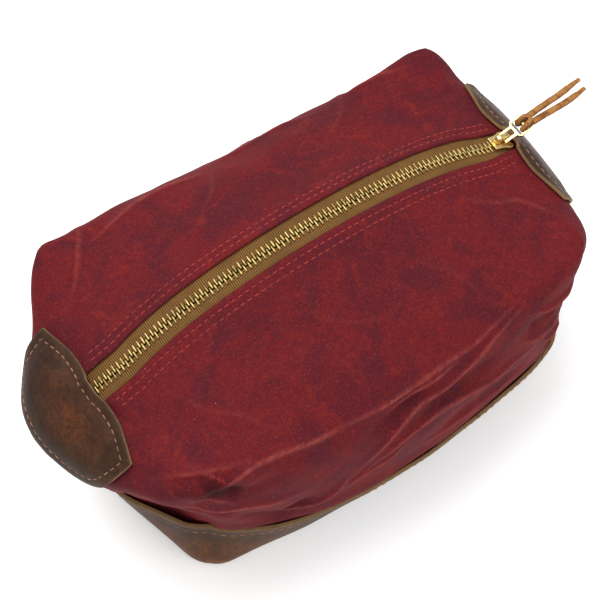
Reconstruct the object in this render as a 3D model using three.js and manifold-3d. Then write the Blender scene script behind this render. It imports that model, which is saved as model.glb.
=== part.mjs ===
// A canvas shaving kit bag with a leather base, leather end patches and a brass zip.
// Millimetres, +Z up. X runs along the zip, from the bottom stop (-X) to the closed slider (+X).
// The origin is on the ground under the middle of the bag.
import * as THREE from "three";
import { mergeVertices } from "three/addons/utils/BufferGeometryUtils.js";
import Module from "manifold-3d";

// ---------------------------------------------------------------- driving dimensions
const ZIP_HALF_CHORD = 108; // half the visible zip, measured straight
const ZIP_END_HEIGHT = 106; // tape height at both ends
const ZIP_RISE = 23; // how far the middle of the zip stands above its ends
const BAG_HALF_WIDTH = 82.5; // fullest point of the front and back, at mid length
const END_SWELL = 24; // how far the full left end stands out past the zip
const RIGHT_END_TUCK = 8.5; // how much less the right end stands out
const CORNER_INSET = 6.5; // from the zip's end back to the four soft vertical corners
const CORNER_Y = 65.5;
const CORNER_RISE = 4; // how far the four top corners stand above the zip's ends
const CANVAS_THICKNESS = 1.4; // waxed canvas and its lining
const LEATHER_THICKNESS = 1.8;
const BASE_HEIGHT = 35; // rim of the leather base
const CORNER_RADIUS = 13;
const GAP = 0.3; // between neighbouring pieces

const ZIP_GAP = 14.7; // between the two folded canvas edges
const ZIP_STOP_MARGIN = 2; // slot length past the visible zip, at each end
const TAPE_HIDDEN_WIDTH = 8; // tape under the canvas
const TAPE_THICKNESS = 0.6;
const TOOTH_PITCH = 2.4; // a number 5 brass zip
const TOOTH_WIDTH = 0.85;
const TOOTH_HEIGHT = 1.8;
const CHAIN_WIDTH = 6;
const TOOTH_OVERLAP = 0.7; // how far a tooth's head reaches past the middle line
const BEAD_WIDTH = 1.9;

const SLIDER_LENGTH = 11;
const SLIDER_X = ZIP_HALF_CHORD - 0.52 * SLIDER_LENGTH; // its middle, with the zip closed
const SLIDER_WIDTH = 9.6;
const SLIDER_PLATE = 1.1;
const SLIDER_CHANNEL = 2.8;
const DIVIDER_WIDTH = 2.2;
const BRIDGE_HEIGHT = 3.4;
const BRIDGE_WIDTH = 2.4;
const BRIDGE_BAR = 1.1;
const STOP_LENGTH = 2.2;
const STOP_WIDTH = 1.6;
const STOP_HEIGHT = 2;

const PULLER_THICKNESS = 1.2;
const PULLER_LENGTH = 12; // pivot to the far end of the eye
const PULLER_EYE_WIDTH = 9.6;
const PULLER_BAR = 1.3;
const PULLER_LIFT = 33; // degrees above the slider's own plane at rest
const LACE_DIAMETER = 3;
const LACE_SPACING = 3.6;
const HITCH_WIDTH = 6.4;

const PATCH_HALF_WIDTH = 37;
const PATCH_DEPTH = 37; // along the leather, from its straight edge to the lowest point
const PATCH_TIP_SETBACK = 7; // how far below the end's top crease the two tips lie
const PATCH_TIP_DEPTH = 2.6; // depth of the leather at its blunt tips

const BINDING_WIDTH = 7;
const BINDING_THICKNESS = 1.2;
const BINDING_FROM = 0.5; // first and last section that the binding covers
const BINDING_TO = 6.6;

const LIP_HALF_SPAN = 0.942; // share of the front edge that opens with the zip
const LIP_ROW = 5.9; // section at which the opening lip starts

// ---------------------------------------------------------------- the zip's arc
const ZIP_RADIUS = (ZIP_HALF_CHORD ** 2 + ZIP_RISE ** 2) / (2 * ZIP_RISE);
const ZIP_CENTRE_Z = ZIP_END_HEIGHT + ZIP_RISE - ZIP_RADIUS;
const ZIP_HALF_ANGLE = Math.asin(ZIP_HALF_CHORD / ZIP_RADIUS);
const ZIP_HALF_LENGTH = ZIP_RADIUS * ZIP_HALF_ANGLE;
const SLOT_HALF_LENGTH = ZIP_HALF_CHORD + ZIP_STOP_MARGIN;
const BAG_HALF_LENGTH = ZIP_HALF_CHORD + END_SWELL;
const CORNER_X = ZIP_HALF_CHORD - CORNER_INSET;
const CORNER_TOP = ZIP_END_HEIGHT + CORNER_RISE;

// The folded canvas lies on the tape, so its outer face stands this far above the tape's middle.
const CANVAS_LIFT = TAPE_THICKNESS / 2 + GAP + CANVAS_THICKNESS;

const arcHeight = (x) => ZIP_CENTRE_Z + Math.sqrt(ZIP_RADIUS ** 2 - x ** 2);

// Bends a geometry drawn flat (x along the zip, y across it, z above the tape) onto the arc.
function bendOntoArc(geometry) {
  const p = geometry.attributes.position;
  for (let i = 0; i < p.count; i++) {
    const angle = p.getX(i) / ZIP_RADIUS;
    const radius = ZIP_RADIUS + p.getZ(i);
    p.setXYZ(i, radius * Math.sin(angle), p.getY(i), ZIP_CENTRE_Z + radius * Math.cos(angle));
  }
  return geometry;
}

// ---------------------------------------------------------------- solids and booleans
const wasm = await Module();
wasm.setup();

function toSolid(geometry) {
  const bare = geometry.clone();
  for (const name of Object.keys(bare.attributes)) {
    if (name !== "position") bare.deleteAttribute(name);
  }
  const merged = mergeVertices(bare, 1e-4);
  return new wasm.Manifold(
    new wasm.Mesh({
      numProp: 3,
      vertProperties: new Float32Array(merged.attributes.position.array),
      triVerts: new Uint32Array(merged.index.array),
    }),
  );
}

function toGeometry(solid) {
  const mesh = solid.getMesh();
  const geometry = new THREE.BufferGeometry();
  geometry.setAttribute("position", new THREE.BufferAttribute(mesh.vertProperties, 3));
  geometry.setIndex(new THREE.BufferAttribute(mesh.triVerts, 1));
  geometry.computeVertexNormals();
  return geometry;
}

const join = (first, ...others) =>
  toGeometry(others.reduce((solid, other) => solid.add(toSolid(other)), toSolid(first)));

const cut = (first, ...others) =>
  toGeometry(others.reduce((solid, other) => solid.subtract(toSolid(other)), toSolid(first)));

// A closed sheet of even thickness behind a grid of points. keep(row, column) says which of the
// grid's squares are there; the sheet starts at depth and its back is thickness further in.
function sheet(grid, { depth = 0, thickness, keep = () => true, inward }) {
  const rows = grid.length;
  const columns = grid[0].length;
  const positions = [];
  for (const back of [0, 1]) {
    for (let r = 0; r < rows; r++) {
      for (let c = 0; c < columns; c++) {
        const along = new THREE.Vector3().subVectors(
          grid[r][Math.min(c + 1, columns - 1)],
          grid[r][Math.max(c - 1, 0)],
        );
        const across = new THREE.Vector3().subVectors(
          grid[Math.min(r + 1, rows - 1)][c],
          grid[Math.max(r - 1, 0)][c],
        );
        const normal = along.cross(across).normalize();
        if (normal.dot(inward(grid[r][c])) < 0) normal.negate();
        const point = grid[r][c].clone().addScaledVector(normal, depth + back * thickness);
        positions.push(point.x, point.y, point.z);
      }
    }
  }
  const index = [];
  const edges = new Map();
  const face = (a, b, c) => index.push(a, b, c);
  const layer = rows * columns;
  for (let r = 0; r < rows - 1; r++) {
    for (let c = 0; c < columns - 1; c++) {
      if (!keep(r, c)) continue;
      const ring = [
        r * columns + c,
        r * columns + c + 1,
        (r + 1) * columns + c + 1,
        (r + 1) * columns + c,
      ];
      face(ring[0], ring[1], ring[2]);
      face(ring[0], ring[2], ring[3]);
      face(ring[2] + layer, ring[1] + layer, ring[0] + layer);
      face(ring[3] + layer, ring[2] + layer, ring[0] + layer);
      ring.forEach((from, i) => {
        const to = ring[(i + 1) % 4];
        if (edges.has(`${to},${from}`)) edges.delete(`${to},${from}`);
        else edges.set(`${from},${to}`, [from, to]);
      });
    }
  }
  for (const [from, to] of edges.values()) {
    face(to, from, from + layer);
    face(to, from + layer, to + layer);
  }
  return facingOut(positions, index);
}

// Builds the geometry, turned so that its faces point outwards.
function facingOut(positions, index) {
  let volume = 0;
  const at = (i) => new THREE.Vector3().fromArray(positions, 3 * i);
  for (let i = 0; i < index.length; i += 3) {
    volume += at(index[i]).dot(at(index[i + 1]).cross(at(index[i + 2])));
  }
  if (volume < 0) index.reverse();
  const geometry = new THREE.BufferGeometry();
  geometry.setAttribute("position", new THREE.Float32BufferAttribute(positions, 3));
  geometry.setIndex(index);
  geometry.computeVertexNormals();
  return geometry;
}

// A closed solid through a stack of rings, each an array of points in the same order.
function loft(rings) {
  const count = rings[0].length;
  const positions = [];
  for (const ring of rings) {
    for (const point of ring) positions.push(point.x, point.y, point.z);
  }
  const index = [];
  for (let r = 0; r < rings.length - 1; r++) {
    for (let c = 0; c < count; c++) {
      const a = r * count + c;
      const b = r * count + ((c + 1) % count);
      index.push(a, b, b + count, a, b + count, a + count);
    }
  }
  const ends = [0, rings.length - 1].map((row) => {
    const middle = rings[row].reduce((sum, p) => sum.add(p), new THREE.Vector3());
    middle.divideScalar(count);
    positions.push(middle.x, middle.y, middle.z);
    return [row * count, positions.length / 3 - 1];
  });
  for (let c = 0; c < count; c++) {
    const next = (c + 1) % count;
    index.push(ends[0][1], ends[0][0] + next, ends[0][0] + c);
    index.push(ends[1][1], ends[1][0] + c, ends[1][0] + next);
  }
  return facingOut(positions, index);
}

// ---------------------------------------------------------------- the bag's outer surface
// Each section is a rounded four-cornered loop whose sides swell between the corners. It holds the
// corner (x, y, z), then how far out the front and back (side) and the ends (end) reach, with the
// height at their middles, and how much less far the right end reaches (tuck).
const section = (corner, side, end, tuck = 0) => ({ corner, side, end, tuck });
const inner = LEATHER_THICKNESS + GAP;

// Heights at a share of the way up the canvas walls, and from the corners up to the ridge.
const wall = (share) => BASE_HEIGHT + share * (CORNER_TOP - BASE_HEIGHT);
const roof = (share) => CORNER_TOP + share * (arcHeight(0) + CANVAS_LIFT - CORNER_TOP);

const BASE_SECTIONS = [
  section([CORNER_X - 4.5, CORNER_Y - 6, 0], [BAG_HALF_WIDTH - 15.5, 0], [BAG_HALF_LENGTH - 23, 0]),
  section([CORNER_X - 3, CORNER_Y - 4.5, 3], [BAG_HALF_WIDTH - 12.5, 3], [BAG_HALF_LENGTH - 21, 3]),
  section([CORNER_X - 2, CORNER_Y - 2.5, 12], [BAG_HALF_WIDTH - 7, 12], [BAG_HALF_LENGTH - 17, 12]),
  section(
    [CORNER_X - 1.5, CORNER_Y - 1, BASE_HEIGHT],
    [BAG_HALF_WIDTH, BASE_HEIGHT],
    [BAG_HALF_LENGTH - 12, BASE_HEIGHT],
  ),
];

const shrunk = ({ corner, side, end }, amount, height) =>
  section(
    [corner[0] - amount, corner[1] - amount, height],
    [side[0] - amount, height],
    [end[0] - amount, height],
  );

const CANVAS_SECTIONS = [
  shrunk(BASE_SECTIONS[1], inner + 0.6, inner + 0.6),
  shrunk(BASE_SECTIONS[2], inner, 14),
  shrunk(BASE_SECTIONS[3], inner + 0.2, BASE_HEIGHT),
  section(
    [CORNER_X - 2, CORNER_Y - 0.5, wall(0.36)],
    [BAG_HALF_WIDTH - 0.5, wall(0.33)],
    [BAG_HALF_LENGTH - 8, wall(0.32)],
    RIGHT_END_TUCK * 0.3,
  ),
  section(
    [CORNER_X, CORNER_Y, wall(0.73)],
    [BAG_HALF_WIDTH - 3, wall(0.64)],
    [BAG_HALF_LENGTH, wall(0.55)],
    RIGHT_END_TUCK * 0.8,
  ),
  section(
    [CORNER_X + 2.5, CORNER_Y - 1, CORNER_TOP],
    [BAG_HALF_WIDTH - 11, wall(0.87)],
    [BAG_HALF_LENGTH - 0.5, wall(0.69)],
    RIGHT_END_TUCK,
  ),
  section(
    [CORNER_X + 4, CORNER_Y - 18, CORNER_TOP - 1.5],
    [BAG_HALF_WIDTH - 28, roof(0.12)],
    [BAG_HALF_LENGTH - 6, wall(0.8)],
    RIGHT_END_TUCK * 0.9,
  ),
  section(
    [CORNER_X + 6, CORNER_Y * 0.4, CORNER_TOP - 3],
    [BAG_HALF_WIDTH * 0.37, roof(0.57)],
    [SLOT_HALF_LENGTH + END_SWELL * 0.3, wall(0.9)],
    RIGHT_END_TUCK * 0.4,
  ),
  section(
    [SLOT_HALF_LENGTH, ZIP_GAP / 2, arcHeight(SLOT_HALF_LENGTH) + CANVAS_LIFT],
    [ZIP_GAP / 2, arcHeight(0) + CANVAS_LIFT],
    [SLOT_HALF_LENGTH, arcHeight(SLOT_HALF_LENGTH) + CANVAS_LIFT],
  ),
];

const flat = ({ corner, side, end, tuck }) => [...corner, ...side, ...end, tuck];

// The section at a fractional position in a stack, on a smooth curve through the stack.
function sectionAt(stack, position) {
  const size = flat(stack[0]).length;
  const curve = new THREE.CubicInterpolant(stack.map((_, i) => i), stack.flatMap(flat), size);
  const v = Array.from(curve.evaluate(Math.min(position, stack.length - 1)));
  return section(v.slice(0, 3), v.slice(3, 5), v.slice(5, 7), v[7]);
}

const mirrored = (shares) => [...shares.map((s) => -s).reverse(), ...shares];
const SIDE_SHARES = [0.06, 0.18, 0.3, 0.42, 0.54, 0.66, 0.77, 0.87, LIP_HALF_SPAN];
const LIP_SHARE_GAP = GAP / CORNER_X;
const SIDE_STEPS = mirrored([...SIDE_SHARES, LIP_HALF_SPAN + LIP_SHARE_GAP, 0.975, 1]);
const END_STEPS = mirrored([0, 0.2, 0.4, 0.6, 0.78, 0.9, 1]);

// A point on the long front (way -1) or back (way 1) side, at share -1 to 1 of the corner's x.
function sidePoint({ corner, side }, share, way) {
  const swell = 1 - share ** 2;
  const point = new THREE.Vector3(
    corner[0] * share,
    way * (corner[1] + (side[0] - corner[1]) * swell),
    corner[2] + (side[1] - corner[2]) * swell,
  );
  return softened(point, (1 - Math.abs(share)) * corner[0], corner);
}

// A point on the left (way -1) or right (way 1) end, at share -1 to 1 of the corner's y.
function endPoint({ corner, end, tuck }, share, way) {
  const swell = 1 - share ** 2;
  const reach = way > 0 ? end[0] - tuck : end[0];
  const y = Math.abs(share) < 1e-6 ? (Object.is(share, -0) ? -GAP : GAP) : corner[1] * share;
  const point = new THREE.Vector3(
    way * (corner[0] + (reach - corner[0]) * swell),
    y,
    corner[2] + (end[1] - corner[2]) * swell,
  );
  return softened(point, (1 - Math.abs(share)) * corner[1], corner);
}

// Pulls a point near a vertical corner inwards, which rounds the corner off.
function softened(point, distance, corner) {
  const radius = Math.min(CORNER_RADIUS, corner[1] * 0.6);
  const pull = 0.29 * radius * Math.max(0, 1 - distance / radius) ** 2;
  point.x -= Math.sign(point.x) * pull * Math.SQRT1_2;
  point.y -= Math.sign(point.y) * pull * Math.SQRT1_2;
  return point;
}

// Half of a section, from the left end's middle round the front (way -1) or back to the right's.
function halfRing(at, way) {
  const quarter = END_STEPS.slice(END_STEPS.length / 2).map((s) => (s === 0 ? way * 0 : way * s));
  return [
    ...quarter.slice(0, -1).map((s) => endPoint(at, s, -1)),
    ...SIDE_STEPS.map((s) => sidePoint(at, s, way)),
    ...quarter.slice(0, -1).reverse().map((s) => endPoint(at, s, 1)),
  ];
}

function fullRing(at) {
  return [...halfRing(at, -1), ...halfRing(at, 1).reverse()];
}

// The same gap as GAP, counted in sections across the front's upper edge.
const ROW_GAP = (() => {
  const [below, above] = [CANVAS_SECTIONS[5].side, CANVAS_SECTIONS[6].side];
  return GAP / Math.hypot(above[0] - below[0], above[1] - below[1]);
})();

const CANVAS_ROWS = [0, 0.5, 1, 1.5, 2, 2.5, 3, 3.5, 4, 4.5, 5, 5.45, LIP_ROW, LIP_ROW + ROW_GAP,
  6.4, 6.9, 7.45, 8];
const LIP_FIRST_ROW = CANVAS_ROWS.indexOf(LIP_ROW) + 1;
const QUARTER = END_STEPS.length / 2 - 1; // grid columns before the first corner
const LIP_FIRST_COLUMN = QUARTER + SIDE_STEPS.indexOf(-LIP_HALF_SPAN);
const LIP_LAST_COLUMN = QUARTER + SIDE_STEPS.indexOf(LIP_HALF_SPAN);

const canvasGrid = (way) =>
  CANVAS_ROWS.map((row) => halfRing(sectionAt(CANVAS_SECTIONS, row), way));

const towardsMiddle = (p) => new THREE.Vector3(-p.x * 0.6, -p.y, 45 - p.z);

function canvasPanel(way) {
  const keep = (row, column) =>
    row < LIP_FIRST_ROW - 1 || column < LIP_FIRST_COLUMN - 1 || column > LIP_LAST_COLUMN;
  return sheet(canvasGrid(way), { thickness: CANVAS_THICKNESS, keep, inward: towardsMiddle });
}

function canvasLip(way) {
  const keep = (row, column) =>
    row >= LIP_FIRST_ROW && column >= LIP_FIRST_COLUMN && column < LIP_LAST_COLUMN;
  return sheet(canvasGrid(way), { thickness: CANVAS_THICKNESS, keep, inward: towardsMiddle });
}

function leatherBase() {
  const outer = BASE_SECTIONS.map(fullRing);
  const hollow = BASE_SECTIONS.map((s, i) => {
    const height = i ? s.corner[2] : LEATHER_THICKNESS;
    return fullRing(shrunk(s, LEATHER_THICKNESS, Math.max(height, LEATHER_THICKNESS)));
  });
  hollow.push(fullRing(shrunk(BASE_SECTIONS.at(-1), LEATHER_THICKNESS, BASE_HEIGHT + 5)));
  return cut(loft(outer), loft(hollow));
}

function canvasFloor() {
  const edge = CANVAS_THICKNESS + 3 * GAP;
  return loft(
    [0, CANVAS_THICKNESS].map((rise) => fullRing(shrunk(CANVAS_SECTIONS[0], edge, inner + rise))),
  );
}

// The taped seam inside an end, from near the floor to under the end of the zip.
function seamBinding(way) {
  const grid = [];
  for (let row = BINDING_FROM; row <= BINDING_TO; row += 0.5) {
    const at = sectionAt(CANVAS_SECTIONS, row);
    grid.push([-1, 0, 1].map((side) => {
      const share = (side * BINDING_WIDTH) / 2 / at.corner[1];
      const point = endPoint(at, share, way);
      point.y = (side * BINDING_WIDTH) / 2;
      return point;
    }));
  }
  return sheet(grid, {
    depth: CANVAS_THICKNESS + GAP,
    thickness: BINDING_THICKNESS,
    inward: towardsMiddle,
  });
}

// ---------------------------------------------------------------- leather end patches
const PROFILE_FOOT = 3; // section at which the measured profile of an end stops
const PROFILE_STEPS = 60;

// The canvas end's outline at one y, from its top crease downwards.
function endProfile(y, way) {
  let top = CANVAS_SECTIONS.length - 1;
  while (sectionAt(CANVAS_SECTIONS, top).corner[1] < Math.abs(y)) top -= 0.02;
  return Array.from({ length: PROFILE_STEPS + 1 }, (_, i) => {
    const at = sectionAt(CANVAS_SECTIONS, top - ((top - PROFILE_FOOT) * i) / PROFILE_STEPS);
    return endPoint(at, y === 0 ? 1e-3 : y / at.corner[1], way);
  });
}

// The point at a distance along a line of points.
function alongLine(points, distance) {
  let left = distance;
  for (let i = 1; i < points.length; i++) {
    const step = points[i].distanceTo(points[i - 1]);
    if (left <= step) return points[i - 1].clone().lerp(points[i], left / step);
    left -= step;
  }
  return points.at(-1).clone();
}

// A D-shaped leather patch that lies on the canvas end, with its straight edge at the zip.
function endPatch(way) {
  const shares = mirrored([0.1, 0.3, 0.5, 0.68, 0.82, 0.92, 1]);
  const rows = [0, 0.2, 0.4, 0.6, 0.8, 1];
  const profiles = shares.map((s) => endProfile(s * PATCH_HALF_WIDTH, way));
  const depthAt = (share) =>
    PATCH_TIP_DEPTH + (PATCH_DEPTH - PATCH_TIP_DEPTH) * Math.sqrt(1 - Math.abs(share) ** 2.4);
  const grid = rows.map((row) => shares.map((share, i) =>
    alongLine(profiles[i], PATCH_TIP_SETBACK * share ** 2 + row * depthAt(share))));
  return sheet(grid, {
    depth: -LEATHER_THICKNESS - 4 * GAP,
    thickness: LEATHER_THICKNESS,
    inward: towardsMiddle,
  });
}

// ---------------------------------------------------------------- the zip
const zipSteps = (from, to, step) => {
  const count = Math.round((to - from) / step);
  return Array.from({ length: count + 1 }, (_, i) => from + ((to - from) * i) / count);
};

function zipTape(way) {
  const far = ZIP_GAP / 2 + TAPE_HIDDEN_WIDTH;
  const near = CHAIN_WIDTH / 2 + GAP;
  const end = ZIP_HALF_LENGTH - GAP;
  const grid = [near, far].map((y) => {
    const fall = y === far ? canvasFall() : 0;
    return zipSteps(-end, end, 6).map((x) => new THREE.Vector3(x, way * y, -fall));
  });
  const band = sheet(grid, {
    thickness: TAPE_THICKNESS,
    inward: () => new THREE.Vector3(0, 0, -1),
  });
  return bendOntoArc(band.translate(0, 0, TAPE_THICKNESS / 2));
}

// How far the canvas falls, at the zip's middle, over the width of tape that it hides.
function canvasFall() {
  const from = sectionAt(CANVAS_SECTIONS, 8).side;
  const to = sectionAt(CANVAS_SECTIONS, 7).side;
  return ((from[1] - to[1]) / (to[0] - from[0])) * TAPE_HIDDEN_WIDTH * 1.25;
}

// One side's brass teeth on their bead. Its teeth sit half a pitch away from the other side's.
function zipTeeth(way) {
  const from = -ZIP_HALF_LENGTH + STOP_LENGTH + 2 * GAP + (way > 0 ? TOOTH_PITCH / 2 : 0);
  const to = sliderArcPosition() - GAP;
  const count = Math.floor((to - from) / TOOTH_PITCH);
  const back = CHAIN_WIDTH / 2;
  const bead = back - BEAD_WIDTH;
  const outline = new THREE.Shape();
  outline.moveTo(from, back);
  for (let i = 0; i < count; i++) {
    const x = from + i * TOOTH_PITCH;
    outline.lineTo(x, i ? bead : back - GAP);
    outline.lineTo(x, -TOOTH_OVERLAP);
    outline.lineTo(x + TOOTH_WIDTH, -TOOTH_OVERLAP);
    outline.lineTo(x + TOOTH_WIDTH, bead);
  }
  for (let i = count - 1; i >= 0; i -= 2) {
    outline.lineTo(from + i * TOOTH_PITCH + TOOTH_WIDTH, back);
  }
  const comb = new THREE.ExtrudeGeometry(outline, { depth: TOOTH_HEIGHT, bevelEnabled: false });
  comb.translate(0, 0, -TOOTH_HEIGHT / 2);
  if (way < 0) comb.rotateX(Math.PI);
  return bendOntoArc(comb);
}

const sliderArcPosition = () => ZIP_RADIUS * Math.asin(SLIDER_X / ZIP_RADIUS);

function box(length, width, height, x, y, z) {
  return new THREE.BoxGeometry(length, width, height, 6, 1, 1).translate(x, y, z);
}

// The stop that joins both tapes at the zip's far end.
function bottomStop() {
  const x = -ZIP_HALF_LENGTH + STOP_LENGTH / 2;
  return bendOntoArc(box(STOP_LENGTH, CHAIN_WIDTH, STOP_HEIGHT, x, 0, 0));
}

// The stop on one tape, which lies inside the slider's mouth when the zip is closed.
function topStop(way) {
  const x = sliderArcPosition() + SLIDER_LENGTH / 2 - STOP_LENGTH / 2 - GAP;
  const y = way * (DIVIDER_WIDTH / 2 + GAP + STOP_WIDTH / 2);
  return bendOntoArc(box(STOP_LENGTH, STOP_WIDTH, STOP_HEIGHT, x, y, 0));
}

// ---------------------------------------------------------------- slider, puller and lace
// The slider is drawn at its own origin, on the tape's plane, with +X towards the zip's end.
function sliderPlate(z) {
  const half = SLIDER_LENGTH / 2;
  const side = SLIDER_WIDTH / 2;
  const tail = side * 0.72;
  const outline = new THREE.Shape();
  outline.moveTo(-half, -tail);
  outline.quadraticCurveTo(-half * 0.1, -tail, half * 0.35, -side);
  outline.lineTo(half * 0.75, -side);
  outline.quadraticCurveTo(half, -side * 0.85, half, -side * 0.5);
  outline.lineTo(half, side * 0.5);
  outline.quadraticCurveTo(half, side * 0.85, half * 0.75, side);
  outline.lineTo(half * 0.35, side);
  outline.quadraticCurveTo(-half * 0.1, tail, -half, tail);
  const plate = new THREE.ExtrudeGeometry(outline, {
    depth: SLIDER_PLATE,
    bevelEnabled: false,
    curveSegments: 4,
  });
  return plate.translate(0, 0, z);
}

function sliderBody() {
  const divider = new THREE.CylinderGeometry(DIVIDER_WIDTH / 2, DIVIDER_WIDTH / 2, SLIDER_CHANNEL + 0.4, 12);
  divider.rotateX(Math.PI / 2);
  divider.scale(1.2, 1, 1);
  divider.translate(SLIDER_LENGTH / 2 - DIVIDER_WIDTH, 0, 0);
  return join(sliderPlate(SLIDER_CHANNEL / 2), sliderPlate(-SLIDER_CHANNEL / 2 - SLIDER_PLATE), divider);
}

const SLIDER_TOP = SLIDER_CHANNEL / 2 + SLIDER_PLATE + GAP;
const BRIDGE_HALF = SLIDER_LENGTH * 0.36;
const PIVOT = { x: BRIDGE_BAR * 0.7, z: SLIDER_TOP + (BRIDGE_HEIGHT - BRIDGE_BAR) / 2 };

// The arched crown that holds the puller.
function sliderBridge() {
  const outline = new THREE.Shape();
  const arch = (half, height) => [
    new THREE.Vector2(half * 0.92, height * 0.72),
    new THREE.Vector2(half * 0.6, height),
  ];
  const outer = arch(BRIDGE_HALF, BRIDGE_HEIGHT);
  const hollow = arch(BRIDGE_HALF - BRIDGE_BAR, BRIDGE_HEIGHT - BRIDGE_BAR);
  outline.moveTo(-BRIDGE_HALF, 0);
  outline.lineTo(-outer[0].x, outer[0].y);
  outline.lineTo(-outer[1].x, outer[1].y);
  outline.lineTo(outer[1].x, outer[1].y);
  outline.lineTo(outer[0].x, outer[0].y);
  outline.lineTo(BRIDGE_HALF, 0);
  outline.lineTo(BRIDGE_HALF - BRIDGE_BAR, 0);
  outline.lineTo(hollow[0].x, hollow[0].y);
  outline.lineTo(hollow[1].x, hollow[1].y);
  outline.lineTo(-hollow[1].x, hollow[1].y);
  outline.lineTo(-hollow[0].x, hollow[0].y);
  outline.lineTo(-BRIDGE_HALF + BRIDGE_BAR, 0);
  const crown = new THREE.ExtrudeGeometry(outline, { depth: BRIDGE_WIDTH, bevelEnabled: false });
  return crown.rotateX(Math.PI / 2).translate(0, BRIDGE_WIDTH / 2, SLIDER_TOP);
}

const PULLER_RING_REACH = BRIDGE_WIDTH / 2 + GAP;
const EYE_LENGTH = LACE_DIAMETER + 2 * PULLER_BAR + 0.9;
const EYE_BAR_X = PULLER_LENGTH - PULLER_BAR / 2;

// The puller: a small ring through the bridge, and a wide eye that the lace is tied to.
// It is drawn from its pivot, lying flat along +X.
function puller() {
  const outline = new THREE.Shape();
  const ringSide = PULLER_RING_REACH + PULLER_BAR;
  const eyeSide = PULLER_EYE_WIDTH / 2;
  const eyeStart = PULLER_LENGTH - EYE_LENGTH;
  outline.moveTo(-PULLER_BAR / 2, -ringSide);
  outline.lineTo(-PULLER_BAR / 2, ringSide);
  outline.lineTo(eyeStart, ringSide);
  outline.quadraticCurveTo(eyeStart + 1, eyeSide, eyeStart + 2.2, eyeSide);
  outline.lineTo(PULLER_LENGTH - 1.2, eyeSide);
  outline.quadraticCurveTo(PULLER_LENGTH, eyeSide, PULLER_LENGTH, eyeSide - 1.2);
  outline.lineTo(PULLER_LENGTH, -eyeSide + 1.2);
  outline.quadraticCurveTo(PULLER_LENGTH, -eyeSide, PULLER_LENGTH - 1.2, -eyeSide);
  outline.lineTo(eyeStart + 2.2, -eyeSide);
  outline.quadraticCurveTo(eyeStart + 1, -eyeSide, eyeStart, -ringSide);
  outline.lineTo(-PULLER_BAR / 2, -ringSide);
  outline.holes.push(
    rectangle(PULLER_BAR / 2, eyeStart, PULLER_RING_REACH),
    rectangle(eyeStart + PULLER_BAR, PULLER_LENGTH - PULLER_BAR, eyeSide - PULLER_BAR),
  );
  const tab = new THREE.ExtrudeGeometry(outline, {
    depth: PULLER_THICKNESS,
    bevelEnabled: false,
    curveSegments: 4,
  });
  return tab.translate(0, 0, -PULLER_THICKNESS / 2);
}

function rectangle(from, to, half) {
  const path = new THREE.Path();
  path.moveTo(from, -half);
  path.lineTo(to, -half);
  path.lineTo(to, half);
  path.lineTo(from, half);
  path.closePath();
  return path;
}

// The lace's turn round the far bar of the eye, drawn from that bar.
const HITCH_HOLE = Math.hypot(PULLER_BAR, PULLER_THICKNESS) / 2 + GAP;
const HITCH_RADIUS = HITCH_HOLE + LACE_DIAMETER * 0.72;

function laceHitch() {
  const outline = new THREE.Shape().absarc(0, 0, HITCH_RADIUS, 0, 2 * Math.PI);
  outline.holes.push(new THREE.Path().absarc(0, 0, HITCH_HOLE, 0, 2 * Math.PI));
  const band = new THREE.ExtrudeGeometry(outline, {
    depth: HITCH_WIDTH,
    bevelEnabled: false,
    curveSegments: 8,
  });
  return band.rotateX(Math.PI / 2).translate(0, HITCH_WIDTH / 2, 0);
}

// Each tail's route, from the hitch's middle, chosen by hand: x out, y across, z up.
const LONG_TAIL = [
  [HITCH_RADIUS + GAP, LACE_SPACING / 2, 0],
  [10, 2, -0.4],
  [16, 2.4, -1.6],
  [22, 3, -3.2],
  [28, 3.8, -4.6],
  [35, 4.6, -5.8],
];
const SHORT_TAIL = [
  [HITCH_RADIUS + GAP, -LACE_SPACING / 2, 0],
  [10, -1.9, -0.8],
  [16, -1.8, -2.4],
  [22, -1.4, -4.4],
  [28, -0.8, -6],
  [34.5, 0, -7.2],
];

function laceTail(route) {
  const path = new THREE.CatmullRomCurve3(route.map((p) => new THREE.Vector3(...p)));
  const section = new THREE.Shape();
  for (let i = 0; i < 8; i++) {
    const angle = (i * Math.PI) / 4;
    const x = (LACE_DIAMETER / 2) * Math.cos(angle);
    const y = (LACE_DIAMETER / 2) * Math.sin(angle);
    if (i) section.lineTo(x, y);
    else section.moveTo(x, y);
  }
  section.closePath();
  return new THREE.ExtrudeGeometry(section, { extrudePath: path, steps: 10, bevelEnabled: false });
}

// ---------------------------------------------------------------- materials and assembly
const finish = (color, roughness, metalness = 0) =>
  new THREE.MeshStandardMaterial({ color, roughness, metalness });

const CANVAS = finish(0x7c1a22, 0.8);
const LINING = finish(0x3a2b20, 0.9);
const LEATHER = finish(0x4a2c1c, 0.55);
const TAPE = finish(0x7a5a2c, 0.85);
const BRASS = finish(0xc9a44c, 0.3, 1);
const PALE_BRASS = finish(0xe2c878, 0.25, 1);
const LACE = finish(0xb07a44, 0.7);

function piece(name, geometry, material, parent) {
  const mesh = new THREE.Mesh(geometry, material);
  mesh.name = name;
  parent.add(mesh);
}

const bag = new THREE.Group();

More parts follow.
